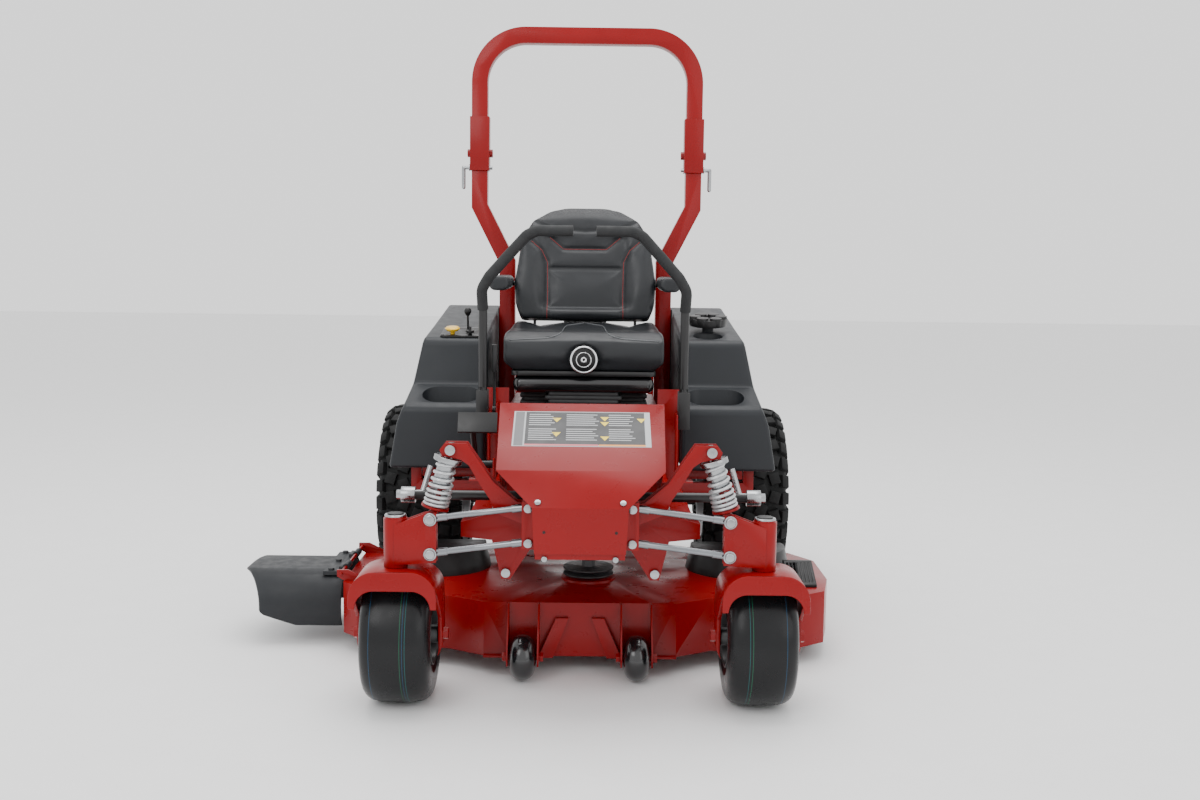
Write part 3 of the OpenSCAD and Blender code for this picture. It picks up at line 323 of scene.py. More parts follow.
def striped_tyre(name, centre_x, lines):
    """Smooth tyre rubber with thin coloured moulding lines round it, each at a distance from its middle."""
    material = plain_finish(name, (0.006, 0.0062, 0.007), 0.30, 0.06, grain=700, depth=0.00012,
                            variation=0.2, level=0.25)
    tree = material.node_tree
    shader = tree.nodes["Principled BSDF"]
    place = next(n for n in tree.nodes if n.type == "TEX_COORD").outputs["Object"]
    split = tree.nodes.new("ShaderNodeSeparateXYZ")
    tree.links.new(place, split.inputs[0])
    colour = shader.inputs["Base Color"].links[0].from_socket
    for offset, tint in lines:
        gap = tree.nodes.new("ShaderNodeMath")
        gap.operation = "SUBTRACT"
        gap.inputs[1].default_value = centre_x + offset
        tree.links.new(split.outputs["X"], gap.inputs[0])
        near = tree.nodes.new("ShaderNodeMath")
        near.operation = "ABSOLUTE"
        tree.links.new(gap.outputs[0], near.inputs[0])
        within = tree.nodes.new("ShaderNodeMath")
        within.operation = "LESS_THAN"
        within.inputs[1].default_value = 0.0007
        tree.links.new(near.outputs[0], within.inputs[0])
        mix = tree.nodes.new("ShaderNodeMix")
        mix.data_type = "RGBA"
        mix.inputs[7].default_value = (*tint, 1)
        tree.links.new(within.outputs[0], mix.inputs[0])
        tree.links.new(colour, mix.inputs[6])
        colour = mix.outputs[2]
    tree.links.new(colour, shader.inputs["Base Color"])
    return material


TEAL = (0.008, 0.075, 0.075)
BLUE = (0.01, 0.045, 0.09)
GREEN = (0.01, 0.085, 0.045)
CASTER_LINES = {
    "right": [(-0.054, BLUE), (0.018, GREEN), (0.024, BLUE), (0.030, TEAL)],
    "left": [(-0.036, TEAL), (-0.029, GREEN), (0.050, BLUE)],
}


def caster_tyre(side):
    node = "caster_tyre_" + side
    middle, half = centre_of(node), half_of(node)
    section = tyre_section(half.x, half.z, 0.077, 0.052, 3.4)
    piece = spun(node + "_rubber", section, middle, 96)
    smooth(piece, 40)
    fit_to(piece, BODY_OF[node], striped_tyre("caster_rubber_" + side, middle.x, CASTER_LINES[side]), node)


def tread_block(size, edge):
    """One moulded block of tread, tapered to its top face."""
    bpy.ops.object.select_all(action="DESELECT")
    bpy.ops.mesh.primitive_cube_add(size=1, scale=size)
    block = bpy.context.object
    settle(block)
    begin_edit(block, "DESELECT")
    bpy.ops.mesh.select_mode(type="FACE")
    end_edit()
    for face in block.data.polygons:
        face.select = face.normal.z > 0.9
    only(block)
    bpy.ops.object.mode_set(mode="EDIT")
    bpy.ops.transform.resize(value=(0.90, 0.88, 1))
    bpy.ops.mesh.inset(thickness=edge, depth=edge * 0.5)
    end_edit()
    return block


# Across the tread: distance from the middle, length along the axle, length round the tyre,
# skew, offset round the tyre as a share of the pitch, and lean over the shoulder.
TREAD_ROWS = [(0, 34, 40, 24, 0.0, 0), (-42, 38, 42, -20, 0.45, 0), (42, 38, 42, -20, 0.55, 0),
              (-84, 36, 40, 16, 0.1, 6), (84, 36, 40, 16, 0.9, 6)]
SHOULDER_ROWS = [(-114, 0.5), (114, 0.0)]
TREAD_PITCHES = 30


def drive_tyre(side):
    node = "drive_tyre_" + side
    middle, half = centre_of(node), half_of(node)
    groove = 0.013
    section = tyre_section(half.x - 0.004, half.z - groove, 0.153, 0.075, 4.2)
    carcass = spun(node + "_rubber", section, middle, 96)
    blocks = []
    for offset, wide, long, skew, start, lean in TREAD_ROWS:
        sink = 0.0125 + (0.0024 if lean else 0.0008)
        block = tread_block((wide * MM, long * MM, 0.022), 0.0022)
        blocks.append((block, offset, skew, start, lean, half.z - sink))
    for offset, start in SHOULDER_ROWS:
        blocks.append((tread_block((0.030, 0.042, 0.026), 0.0025), offset, 0, start, 38, half.z - 0.027))
        block = tread_block((0.014, 0.034, 0.046), 0.002)
        blocks.append((block, offset * 1.135, 0, start, 4, half.z - 0.074))
    pieces = []
    for block, offset, skew, start, lean, radius in blocks:
        for step in range(TREAD_PITCHES):
            turn = 2 * math.pi * (step + start) / TREAD_PITCHES
            tilt = math.radians(math.copysign(lean, offset)) if offset else 0
            copy = bpy.data.objects.new("block", block.data.copy())
            bpy.context.scene.collection.objects.link(copy)
            copy.data.transform(Matrix.Translation(middle) @ Matrix.Rotation(turn, 4, "X")
                                @ Matrix.Translation((offset * MM, 0, radius)) @ Matrix.Rotation(tilt, 4, "Y")
                                @ Matrix.Rotation(math.radians(skew * (1 if step % 2 else -1)), 4, "Z"))
            pieces.append(copy)
        bpy.data.objects.remove(block)
    only(*pieces, carcass)
    bpy.ops.object.join()
    smooth(carcass, 30)
    fit_to(carcass, BODY_OF[node], TYRE, node)


# ---- tubes along a route ----

def rounded_route(points, radius, steps=8):
    """Straight runs between the points, with an arc of about this radius at each corner."""
    route = [points[0]]
    for before, corner, after in zip(points, points[1:], points[2:]):
        back, ahead = (before - corner).normalized(), (after - corner).normalized()
        half_angle = back.angle(ahead) / 2
        reach = min(radius / math.tan(half_angle), (before - corner).length * 0.48,
                    (after - corner).length * 0.48)
        start, end = corner + back * reach, corner + ahead * reach
        for step in range(steps + 1):
            t = step / steps
            route.append(start * (1 - t) ** 2 + corner * 2 * t * (1 - t) + end * t ** 2)
    return route + [points[-1]]


def tube(name, route, radius, sides=8):
    """A round bar along a route, closed at both ends."""
    curve = bpy.data.curves.new(name, "CURVE")
    curve.dimensions = "3D"
    curve.bevel_depth = radius
    curve.bevel_resolution = sides // 2
    curve.use_fill_caps = True
    line = curve.splines.new("POLY")
    line.points.add(len(route) - 1)
    for point, place in zip(line.points, route):
        point.co = (*place, 1)
    obj = bpy.data.objects.new(name, curve)
    bpy.context.scene.collection.objects.link(obj)
    only(obj)
    bpy.ops.object.convert(target="MESH")
    obj = bpy.context.object
    begin_edit(obj)
    bpy.ops.mesh.remove_doubles(threshold=0.00002)
    bpy.ops.mesh.normals_make_consistent(inside=False)
    end_edit()
    return obj


def coil_spring(side):
    """A tapered coil, wider and closer at its foot, between the two spring seats."""
    node = "front_spring_" + side
    sign = SIDES[side]
    top, foot = at(sign * 314, -60, 594), at(sign * 341, -60, 493)
    axis = (foot - top).normalized()
    across = axis.cross(Vector((0, 1, 0))).normalized()
    depth = axis.cross(across)
    turns, steps = 7.5, 28
    route = []
    for step in range(int(turns * steps) + 1):
        share = step / (turns * steps)
        angle = 2 * math.pi * step / steps
        along = (0.62 * share + 0.38 * (1 - (1 - share) ** 2.2)) * (foot - top).length
        radius = (21 + 6.2 * min(share * 1.6, 1)) * MM
        route.append(top + axis * along + (across * math.cos(angle) + depth * math.sin(angle)) * radius)
    piece = tube(node + "_coil", route, 0.0040)
    smooth(piece, 60)
    fit_to(piece, BODY_OF[node], SPRING, node)
    tuple(top)
    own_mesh(piece)


def lap_bar(side):
    """A steel upright with a thick foam grip over the bends."""
    node = "lap_bar_" + side
    sign = SIDES[side]
    foot = at(sign * 282, 545, 690)
    corners = [foot, at(sign * 282, 540, 930), at(sign * 284, 522, 985), at(sign * 262, 514, 1022),
               at(sign * 158, 500, 1136), at(sign * 130, 498, 1148), at(sign * 32, 496, 1148)]
    bar = tube(node + "_bar", rounded_route([foot + Vector((0, 0, 0.004)), corners[1]], 0.02), 0.0122, 12)
    hub = copy_of(node, node + "_hub")
    begin_edit(hub)
    bpy.ops.mesh.bisect(plane_co=at(0, 0, 712), plane_no=(0, 0, 1), clear_outer=True, use_fill=True)
    end_edit()
    grip = tube(node + "_grip", rounded_route(corners[1:], 0.045, 10), 0.0152, 16)
    only(bar, hub)
    bpy.ops.object.join()
    smooth(hub, 40)
    smooth(grip, 50)
    fit_to(hub, BODY_OF[node], BLACK_PAINT, node)
    fit_to(grip, BODY_OF[node], FOAM)
    round_edges(grip, 0.003, 3, 60)


# ---- soft pieces ----

def cut_away(obj, point, normal):
    """Remove what lies beyond a plane and close the cut."""
    begin_edit(obj)
    bpy.ops.mesh.bisect(plane_co=point, plane_no=normal, clear_outer=True, use_fill=True)
    end_edit()


def softened(node, name, voxel, rounds, cuts=()):
    """A CAD node's shape cut by planes, meshed evenly and eased into a moulded form."""
    piece = copy_of(node, name)
    for point, normal in cuts:
        cut_away(piece, point, normal)
    even = piece.modifiers.new("even mesh", "REMESH")
    even.mode = "VOXEL"
    even.voxel_size = voxel
    ease = piece.modifiers.new("eased", "SMOOTH")
    ease.factor = 0.5
    ease.iterations = rounds
    apply_modifiers(piece)
    return piece


def to_line(x, z, line):
    """The distance of a point from a line of (x, z) points."""
    best = 1e9
    for (x0, z0), (x1, z1) in zip(line, line[1:]):
        run, rise = x1 - x0, z1 - z0
        share = max(0, min(1, ((x - x0) * run + (z - z0) * rise) / (run * run + rise * rise)))
        best = min(best, math.hypot(x - x0 - share * run, z - z0 - share * rise))
    return best


def in_mm(place):
    return (place.x - CENTRE_X) / MM, (place.y - AXLE_Y) / MM, place.z / MM


def crease(piece, lines, depth, width, front):
    """Press stitched channels into the front of a pad, and mark how firmly each point is held."""
    held = piece.vertex_groups.new(name="held")
    for vertex in piece.data.vertices:
        x, y, z = in_mm(vertex.co)
        grip = 0
        if front(x, y, z, vertex.normal):
            away = min(to_line(x, z, line) for line in lines)
            vertex.co.y += depth * MM * math.exp(-(away / width) ** 2)
            grip = max(0, 1 - away / (width * 1.2))
        else:
            grip = 0.5
        held.add([vertex.index], grip, "REPLACE")


def inflate(piece, pressure, reach):
    """Let the cover swell between its seams, no further than reach."""
    before = [v.co.copy() for v in piece.data.vertices]
    cloth = piece.modifiers.new("cover", "CLOTH")
    cloth.settings.quality = 5
    cloth.settings.mass = 0.4
    cloth.settings.tension_stiffness = 18
    cloth.settings.compression_stiffness = 12
    cloth.settings.bending_stiffness = 0.6
    cloth.settings.use_pressure = True
    cloth.settings.uniform_pressure_force = pressure
    cloth.settings.vertex_group_mass = "held"
    cloth.settings.effector_weights.gravity = 0
    cloth.collision_settings.use_collision = False
    for step in range(1, 13):
        bpy.context.scene.frame_set(step)
    only(piece)
    bpy.ops.object.modifier_apply(modifier=cloth.name)
    bpy.context.scene.frame_set(1)
    for vertex, start in zip(piece.data.vertices, before):
        move = vertex.co - start
        if move.length > reach:
            vertex.co = start + move.normalized() * reach


def stitched(name, piece, lines, from_y, radius, finish, body):
    """Thread laid along the seams, dropped onto the pad from the front."""
    threads = []
    for line in lines:
        route = []
        for (x0, z0), (x1, z1) in zip(line, line[1:]):
            count = max(2, int(math.hypot(x1 - x0, z1 - z0) / 6))
            for step in range(count + 1):
                share = step / count
                start = at(x0 + (x1 - x0) * share, from_y, z0 + (z1 - z0) * share)
                hit, place, normal, _ = piece.ray_cast(start, Vector((0, 1, 0)))
                if hit:
                    route.append(place + normal * radius * 0.3)
        if len(route) > 2:
            threads.append(tube(name, route, radius, 4))
    only(*threads)
    bpy.ops.object.join()
    thread = bpy.context.object
    thread.name = name
    fit_to(thread, body, finish)


def softly(piece, body, *nodes):
    smooth(piece, 80)
    fit_to(piece, body, VINYL, *nodes)


def both(line):
    return [line, [(-x, z) for x, z in line]]


PANEL_SEAMS = both([(121, 850), (119, 960), (121, 1062), (140, 1100), (172, 1128)])
INSET_SEAM = [(-114, 1140), (-70, 1103), (66, 1103), (110, 1140)]
CAP_SEAM = [(-190, 1176), (-172, 1192), (-110, 1168), (0, 1160), (110, 1168), (172, 1192), (190, 1176)]
CROSS_SEAMS = [[(-119, 1042), (119, 1042)], [(-119, 918), (119, 918)]]


def backrest():
    node = "backrest"
    body = BODY_OF[node]
    foot = at(0, 0, 881.5)
    side = 223 * MM
    pad = softened(node, "backrest_pad", 0.0055, 16, [
        (foot, (0, 0, -1)), (at(0, 0, 0) + Vector((side, 0, 0)), (1, 0, 0)),
        (at(0, 0, 0) - Vector((side, 0, 0)), (-1, 0, 0))])
    for vertex in pad.data.vertices:
        height = vertex.co.z / MM - 881
        if height < 70:
            vertex.co.z -= 7 * MM * (1 - height / 70)
    crease(pad, PANEL_SEAMS + CROSS_SEAMS + [INSET_SEAM, CAP_SEAM], 7, 7,
           lambda x, y, z, normal: normal.y < -0.1)
    inflate(pad, 2.2, 0.006)
    softly(pad, body, node)
    stitched("backrest_thread", pad, PANEL_SEAMS + [INSET_SEAM], 700, 0.0009, THREAD, body)
    straps = copy_of(node, "backrest_straps")
    cut_away(straps, at(0, 0, 881), (0, 0, 1))
    fit_to(straps, body, BLACK_PAINT)
    for sign in SIDES.values():
        stub = copy_of(node, "armrest_pin")
        cut_away(stub, at(sign * 224, 0, 0), (-sign, 0, 0))
        cut_away(stub, at(0, 0, 1012), (0, 0, 1))
        cut_away(stub, at(0, 0, 972), (0, 0, -1))
        if len(stub.data.polygons):
            fit_to(stub, body, BLACK_PAINT)
        else:
            bpy.data.objects.remove(stub)


def seat_cushion():
    node = "seat_cushion"
    body = BODY_OF[node]
    pad = softened(node, "cushion_pad", 0.0055, 14)
    rise = [(55, 866), (78, 852), (110, 843), (215, 838)]
    hump = [(-x, z) for x, z in reversed(rise)] + [(0, 872)] + rise
    crease(pad, [hump], 4, 6, lambda x, y, z, normal: normal.y < -0.2 and y < 665)
    for vertex in pad.data.vertices:
        x, y, z = in_mm(vertex.co)
        if y < 670:
            vertex.co.y += 14 * MM * math.exp(-((x / 52) ** 2 + ((z - 787) / 46) ** 2) ** 2)
    inflate(pad, 1.8, 0.006)
    softly(pad, body, node)
    stitched("cushion_piping", pad, [hump], 560, 0.0016, PIPING, body)


def armrests():
    for side in SIDES:
        node = "armrest_" + side
        pad = softened(node, node + "_pad", 0.0045, 10)
        held = pad.vertex_groups.new(name="held")
        held.add(list(range(len(pad.data.vertices))), 0.3, "REPLACE")
        inflate(pad, 1.0, 0.003)
        softly(pad, BODY_OF[node], node)


def rounded_box(name, low, high, radius, segments=5):
    bpy.ops.object.select_all(action="DESELECT")
    bpy.ops.mesh.primitive_cube_add(size=1, location=(low + high) / 2, scale=high - low)
    obj = bpy.context.object
    obj.name = name
    settle(obj)
    round_edges(obj, radius, segments)
    return obj


def seat_box():
    """The glossy moulded box under the cushion, over narrow rubber folds at the front and a wider set of dark
    folds further back; the wider set stands partly for the hoses under the box and partly for painted shade
    there.
    """
    node = "seat_boot"
    low, high = (Vector(c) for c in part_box(node))
    cover = rounded_box("seat_box", Vector((low.x, low.y + 0.006, 0.686)), Vector((high.x, high.y, high.z)),
                        0.021, 7)
    smooth(cover, 60)
    fit_to(cover, BODY_OF[node], GLOSS_BLACK, node)
    folds = []
    for level in range(4):
        base = low.z + level * 0.0115
        # The first set is the narrow folds at the front; the second, wider set further back is a dark filler,
        # partly the hoses under the box and partly painted shade.
        for inset, front in ((0.092, 0.020), (0.016, 0.085)):
            inset += 0.010 * (level % 2)
            folds.append(rounded_box("bellows_and_painted_shade", Vector((low.x + inset, low.y + front, base)),
                                     Vector((high.x - inset, high.y - 0.03, base + 0.015)), 0.006, 3))
    only(*folds)
    bpy.ops.object.join()
    smooth(folds[-1], 60)
    fit_to(folds[-1], BODY_OF[node], RUBBER)


def weight_knob():
    node = "weight_knob"
    middle = centre_of(node)
    body = BODY_OF[node]
    dress(node, BLACK_PLASTIC)
    front = Vector(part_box(node)[0]).y
    for name, radius, thick, lift, finish in (("rim", 0.0365, 0.0035, 0.004, CHROME),
                                              ("ring", 0.021, 0.0016, 0.0005, CHROME),
                                              ("hub", 0.006, 0.0030, 0.0005, CHROME)):
        bpy.ops.object.select_all(action="DESELECT")
        bpy.ops.mesh.primitive_torus_add(major_radius=radius, minor_radius=thick, major_segments=64,
                                         minor_segments=12, location=(middle.x, front + lift, middle.z),
                                         rotation=(math.radians(90), 0, 0))
        ring = bpy.context.object
        ring.name = "knob_" + name
        settle(ring)
        smooth(ring, 60)
        fit_to(ring, body, finish)


# ---- fenders ----

def prism(name, points, axis, start, end):
    """A closed prism over a plan of (a, b) points in millimetres: (x, z) along Y or (y, z) along X."""
    bpy.ops.object.select_all(action="DESELECT")
    bpy.ops.mesh.primitive_circle_add(vertices=len(points), radius=0.01, fill_type="NGON")
    obj = bpy.context.object
    obj.name = name
    for vertex, (a, b) in zip(obj.data.vertices, points):
        vertex.co = at(a, start, b) if axis == "Y" else at(start, a, b)
    settle(obj)
    begin_edit(obj)
    move = at(0, end, 0) - at(0, start, 0) if axis == "Y" else at(end, 0, 0) - at(start, 0, 0)
    bpy.ops.mesh.extrude_region_move(TRANSFORM_OT_translate={"value": move})
    bpy.ops.mesh.select_all(action="SELECT")
    bpy.ops.mesh.normals_make_consistent(inside=False)
    end_edit()
    return obj


def trim(obj, tool, operation="DIFFERENCE"):
    cut = obj.modifiers.new(operation.lower(), "BOOLEAN")
    cut.object = tool
    cut.operation = operation
    cut.solver = "EXACT"
    apply_modifiers(obj)
    bpy.data.objects.remove(tool)


def slot_tool(x, y, length, width, low, high):
    """A round-ended block, long along X."""
    reach = (length - width) / 2
    points = []
    for end in (1, -1):
        for step in range(17):
            turn = math.radians(-90 + 180 * step / 16) + (0 if end > 0 else math.pi)
            points.append((x + end * reach + width / 2 * math.cos(turn), y + width / 2 * math.sin(turn)))
    bpy.ops.object.select_all(action="DESELECT")
    bpy.ops.mesh.primitive_circle_add(vertices=len(points), radius=0.01, fill_type="NGON")
    tool = bpy.context.object
    for vertex, (a, b) in zip(tool.data.vertices, points):
        vertex.co = at(a, b, low)
    settle(tool)
    begin_edit(tool)
    bpy.ops.mesh.remove_doubles(threshold=0.00002)
    bpy.ops.mesh.select_all(action="SELECT")
    bpy.ops.mesh.extrude_region_move(TRANSFORM_OT_translate={"value": Vector((0, 0, (high - low) * MM))})
    bpy.ops.mesh.select_all(action="SELECT")
    bpy.ops.mesh.normals_make_consistent(inside=False)
    end_edit()
    return tool


def fender(side):
    node = "fender_" + side
    sign = SIDES[side]
    outline = ((284, 470), (556, 470), (534, 600), (514, 654), (470, 860), (448, 1000), (284, 1000))
    front = [(sign * x, z) for x, z in outline]
    rise = math.tan(math.radians(8.4))
    top = lambda y: 834 + (y - 752) * rise
    profile = [(600, 470), (600, 640), (614, 654), (736, 702), (752, 822), (766, top(766)), (1300, top(1300)),
               (1440, 850), (1490, 740), (1490, 470)]
    shell = prism(node + "_moulding", front, "Y", 590, 1500)
    trim(shell, prism("side", profile, "X", sign * 200, sign * 700), "INTERSECT")
    round_edges(shell, 0.015, 5, 14)
    arch = [(1262 + 325 * math.cos(math.radians(a)), 290 + 325 * math.sin(math.radians(a)))
            for a in range(0, 360, 5)]
    trim(shell, prism("arch", arch, "X", sign * 150, sign * 750))
    trim(shell, slot_tool(sign * 384, 672, 168, 92, 612, 1000))
    relief = [(1150, 400), (1260, 400), (1260, 1100), (1150, 1100)]
    trim(shell, prism("relief", relief, "X", sign * 200, sign * 290))
    if side == "left":
        trim(shell, slot_tool(sign * 373, 825, 89, 88, 755, 1000))
    round_edges(shell, 0.0035, 3, 48)
    wall = shell.modifiers.new("wall", "SOLIDIFY")
    wall.thickness = 0.0038
    wall.offset = -1
    apply_modifiers(shell)
    for y0, z1 in ((500, 488), (1180, 600)):
        under = [(y0, 400), (1700, 400), (1700, z1), (y0, z1)]
        trim(shell, prism("under", under, "X", sign * 150, sign * 750))
    if side == "right":
        hole = [(772, 780), (901, 780), (901, 920), (772, 920)]
        tool = prism("panel hole", hole, "X", sign * 304, sign * 424)
        trim(shell, tool)
    else:
        bpy.ops.mesh.primitive_cylinder_add(radius=0.017, depth=0.05, location=at(sign * 378, 894.5, 845.3),
                                            rotation=(math.radians(8.4), 0, 0), vertices=48)
        boss = bpy.context.object
        settle(boss)
        only(boss, shell)
        bpy.ops.object.join()
    smooth(shell, 35)
    fit_to(shell, BODY_OF[node], CHARCOAL, node)


# ---- front end ----

SWIVEL = (432, -85)
EAR_X = 348
EAR_BOLTS = (386, 468)
HOUSING_TOP = 472
LIP = (-150, -143)
ROLLER_END = 0.012
LIFT_SHAFT = {"y": 80, "z": 490, "reach": 13, "black_half": 395}
UPRIGHT = (0, 0, 0)


def arc(x, z, radius, start, end, steps=10):
    """Points of an arc about (x, z), from one angle to another in degrees."""
    turns = [math.radians(start + (end - start) * i / steps) for i in range(steps + 1)]
    return [(x + radius * math.cos(t), z + radius * math.sin(t)) for t in turns]


def fork_skirt(side):
    """The pressed front lip of a caster fork, which follows its crown and shoulders."""
    centre = SIDES[side] * SWIVEL[0]
    outer = [(102, 262), *arc(40, 288, 62, 0, 90), *arc(-40, 288, 62, 90, 180), (-102, 262)]
    inner = [*arc(-44, 262, 43, 180, 90), *arc(44, 262, 43, 90, 0)]
    skirt = prism("fork_skirt_" + side, [(centre + x, z) for x, z in outer + inner], "Y", *LIP)
    round_edges(skirt, 0.0022, 3, 50)
    smooth(skirt, 40)
    fit_to(skirt, BODY_OF["caster_fork_" + side], RED)


def bolt_head(name, place, radius, body, finish, turn=(math.radians(90), 0, 0), height=0.007):
    """A domed washer-head bolt, its axis along Y unless turned."""
    bpy.ops.object.select_all(action="DESELECT")
    bpy.ops.mesh.primitive_cylinder_add(vertices=32, radius=radius, depth=height, location=place,
                                        rotation=turn)
    head = bpy.context.object
    head.name = name
    settle(head)
    round_edges(head, height * 0.42, 4, 50)
    smooth(head, 60)
    fit_to(head, body, finish)


def housing_details(side):
    """The arms' pivot bolts on the ears of a caster housing, and the cap over its bearing."""
    sign = SIDES[side]
    body = BODY_OF["caster_housing_" + side]
    x, y = SWIVEL
    for z in EAR_BOLTS:
        bolt_head("pivot_washer", at(sign * EAR_X, -117.5, z), 0.0155, body, ZINC, height=0.005)
        bolt_head("pivot_bolt", at(sign * EAR_X, -122, z), 0.0120, body, ZINC, height=0.009)
    bolt_head("bearing_cap", at(sign * x, y, HOUSING_TOP), 0.0255, body, ZINC, UPRIGHT, 0.006)
    bolt_head("bearing_plug", at(sign * x, y, HOUSING_TOP + 3), 0.0195, body, BLACK_PLASTIC, UPRIGHT, 0.005)


def cowl_details():
    """The bolts in the front of the cowl, and thin black discs in place of its small holes, which paint the
    shade inside them.
    """
    body = BODY_OF["front_cowl"]
    for sign in SIDES.values():
        # Each small hole is a thin black disc on the surface: painted shade, not an opening.
        bolt_head("hole_painted_shade", at(sign * 83, -154.2, 449), 0.0035, body, BLACK_PLASTIC, height=0.001)
        bolt_head("flange_bolt", at(sign * 82, -148, 385), 0.0075, body, ZINC, height=0.007)


def gauge_roller(side):
    """A glossy barrel-shaped roller on its axle."""
    node = "gauge_roller_" + side
    middle, half = centre_of(node), half_of(node)
    section = []
    for step in range(25):
        turn = math.pi * (step / 24 - 0.5)
        across, rise = math.sin(turn), math.cos(turn)
        section.append((math.copysign(abs(across) ** 0.85, across) * half.x,
                        ROLLER_END + (half.z - ROLLER_END) * rise ** 0.8))
    section += [(half.x * 0.9, 0.0085), (-half.x * 0.9, 0.0085)]
    roller = spun(node + "_barrel", section, middle, 64)
    smooth(roller, 50)
    fit_to(roller, BODY_OF[node], GLOSS_BLACK, node)


def dark_shaft():
    """The lift shaft is black between its bright ends."""
    skin = bpy.data.objects["frame_fasteners_skin"]
    skin.data.materials.append(BLACK_PAINT)
    for face in skin.data.polygons:
        x, y, z = in_mm(face.center)
        near = max(abs(y - LIFT_SHAFT["y"]), abs(z - LIFT_SHAFT["z"])) < LIFT_SHAFT["reach"]
        if near and abs(x) < LIFT_SHAFT["black_half"]:
            face.material_index = 1


# ---- safety decal ----

def plates(name, rectangles, finish, place, body):
    """Thin printed shapes, each a list of (across, up) points in millimetres, laid on a slope."""
    bpy.ops.object.select_all(action="DESELECT")
    parts = []
    for points in rectangles:
        bpy.ops.mesh.primitive_circle_add(vertices=len(points), radius=0.01, fill_type="NGON")
        part = bpy.context.object
        for vertex, (across, up) in zip(part.data.vertices, points):
            vertex.co = place(across, up)
        settle(part)
        parts.append(part)
    only(*parts)
    bpy.ops.object.join()
    piece = bpy.context.object
    piece.name = name
    layer = piece.modifiers.new("layer", "SOLIDIFY")
    layer.thickness = 0.0002
    apply_modifiers(piece)
    begin_edit(piece)
    bpy.ops.mesh.normals_make_consistent(inside=False)
    end_edit()
    fit_to(piece, body, finish)


def rectangle(x0, x1, y0, y1):
    return [(x0, y0), (x1, y0), (x1, y1), (x0, y1)]


def decal():
    """A plain pictogram panel on the sloped dash: bars and triangles, no words."""
    slope = (Vector((0, 169.5 + 81.5, 706 - 577.8))).normalized()
    out = Vector((0, -slope.z, slope.y))
    corner = at(0, 4, 577.8 + 3 + (4 + 81.5) * slope.z / slope.y)

    def lifted(height):
        return lambda across, up: corner + Vector((across * MM, 0, 0)) + slope * up * MM + out * height

    body = BODY_OF["front_cowl"]
    wide, tall = 168, 150
    bars, triangles = [], []
    for column, (x0, x1) in enumerate(((-130, -62), (-38, 42), (66, 130))):
        for row in range(13):
            up = 26 + row * 9
            if row == 6:
                continue
            short = (row * 7 + column * 5) % 17
            bars.append(rectangle(x0, x1 - short, up, up + 3.2))
    for x, up in ((-62, 112), (-62, 50), (56, 118), (56, 96), (56, 34), (146, 112)):
        triangles.append([(x, up - 9), (x + 11, up + 9), (x - 11, up + 9)])
    plates("decal_ground", [rectangle(-wide, wide, 0, tall)], DECAL_SILVER, lifted(0.0003), body)
    plates("decal_panel", [rectangle(-wide + 30, wide - 14, 8, tall - 3)], DECAL_DARK, lifted(0.0006), body)
    plates("decal_side", [rectangle(-wide + 4, -wide + 26, 3, tall - 3)], DECAL_GREY, lifted(0.0006), body)
    plates("decal_bars", bars, DECAL_SILVER, lifted(0.0009), body)
    plates("decal_triangles", triangles, DECAL_YELLOW, lifted(0.0009), body)
    plates("decal_pink", [rectangle(-wide + 30, 40, 3, 9)], DECAL_PINK, lifted(0.0009), body)
    plates("decal_orange", [rectangle(42, wide - 14, 3, 9)], DECAL_ORANGE, lifted(0.0009), body)


# ---- carried-over pieces ----

FINISHES = {
    RED: ["main_frame", "front_head", "front_cowl", "floor_pan", "rops_posts", "rops_hoop", "deck_shell",
          "caster_housing_right", "caster_housing_left", "caster_fork_right", "caster_fork_left"],
    BLACK_PLASTIC: ["control_panel", "choke_knob", "throttle_lever", "height_dial",
                    "deck_covers", "engine_shroud"],
    BLACK_PAINT: ["lever_base_right", "lever_base_left", "brake_lever", "lift_pedal", "seat_pan"],
    RUBBER: ["floor_mat"],
    CHUTE_RUBBER: ["discharge_chute"],
    RIM: ["caster_rim_right", "caster_rim_left"],
    SILVER_RIM: ["drive_rim_right", "drive_rim_left"],
    ENGINE: ["engine_block", "transaxles"],
    ZINC: ["frame_fasteners", "lock_pin_right", "lock_pin_left", "front_dampers"],
    ROD: ["lower_arm_right", "lower_arm_left", "upper_arm_right", "upper_arm_left"],
    BLADE: ["blade_right", "blade_centre", "blade_left"],
    YELLOW: ["pto_knob"],
}
for finish, nodes in FINISHES.items():
    for node in nodes:
        dress(node, finish)
for side in SIDES:
    caster_tyre(side)
    drive_tyre(side)
    coil_spring(side)
    lap_bar(side)
    fender(side)
    fork_skirt(side)
    housing_details(side)
    gauge_roller(side)
cowl_details()
dark_shaft()
weight_knob()
seat_box()
seat_cushion()
backrest()
armrests()
decal()


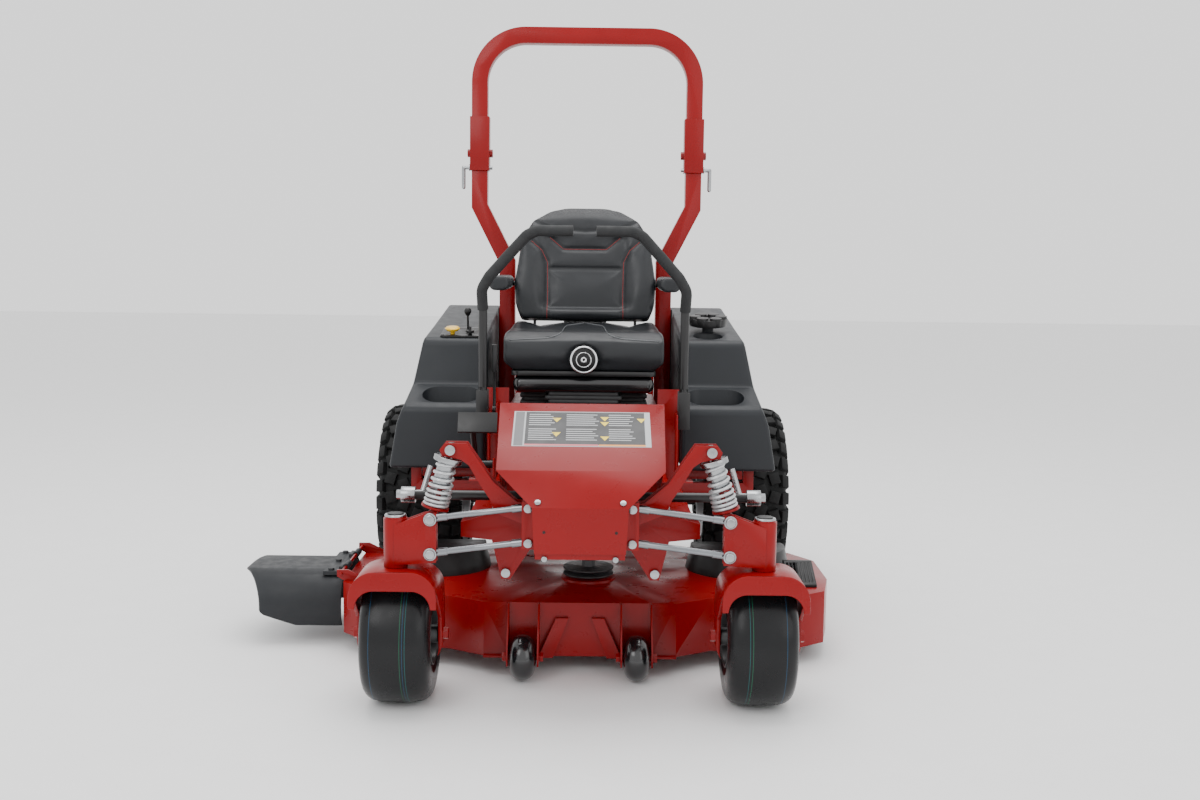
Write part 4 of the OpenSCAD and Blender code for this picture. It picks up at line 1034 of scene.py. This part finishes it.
# ---- camera, light and floor ----

def studio():
    machine = Vector(CAD_BOX[1]) - Vector(CAD_BOX[0])
    bpy.ops.object.select_all(action="DESELECT")
    bpy.ops.mesh.primitive_plane_add(size=40, location=(0, 0, -0.0005))
    floor = bpy.context.object
    floor.name = "studio_floor"
    pale = plain_finish("pale_floor", (0.86, 0.86, 0.86), 0.6, variation=0.01, strength=0.0)
    floor.data.materials.append(pale)
    settle(floor)
    world = bpy.data.worlds.new("studio_world")
    world.use_nodes = True
    world.node_tree.nodes["Background"].inputs["Color"].default_value = (1, 1, 1, 1)
    world.node_tree.nodes["Background"].inputs["Strength"].default_value = 1.45
    bpy.context.scene.world = world
    for name, place, size, power in (("key", (-2.2, -4.2, 3.6), 2.5, 60), ("fill", (3.2, -3.6, 2.4), 3.0, 30),
                                     ("top", (0, 0.2, 4.6), 3.5, 150)):
        bpy.ops.object.light_add(type="AREA", location=place)
        light = bpy.context.object
        light.name = name + "_light"
        light.data.size = size
        light.data.energy = power
        aim = Vector((0, 0, machine.z * 0.45)) - Vector(place)
        light.rotation_euler = aim.to_track_quat("-Z", "Y").to_euler()


def camera():
    """A long look from the front, a little above the seat, aimed slightly down."""
    place = Vector((0.1456, -3.8334, 1.0686))
    yaw, pitch, roll = (math.radians(a) for a in (0.47, 6.24, 0.71))
    ahead = Vector((math.sin(yaw) * math.cos(pitch), math.cos(yaw) * math.cos(pitch), -math.sin(pitch)))
    right = Vector((math.cos(yaw), -math.sin(yaw), 0))
    up = right.cross(ahead)
    turned_right = right * math.cos(roll) + up * math.sin(roll)
    turned_up = up * math.cos(roll) - right * math.sin(roll)
    turn = Matrix((turned_right, turned_up, -ahead)).transposed()
    data = bpy.data.cameras.new("front_camera")
    data.lens = 38.27
    data.sensor_width = 36
    data.clip_end = 100
    eye = bpy.data.objects.new("front_camera", data)
    bpy.context.scene.collection.objects.link(eye)
    eye.matrix_world = Matrix.Translation(place) @ turn.to_4x4()
    bpy.context.scene.camera = eye


studio()
camera()
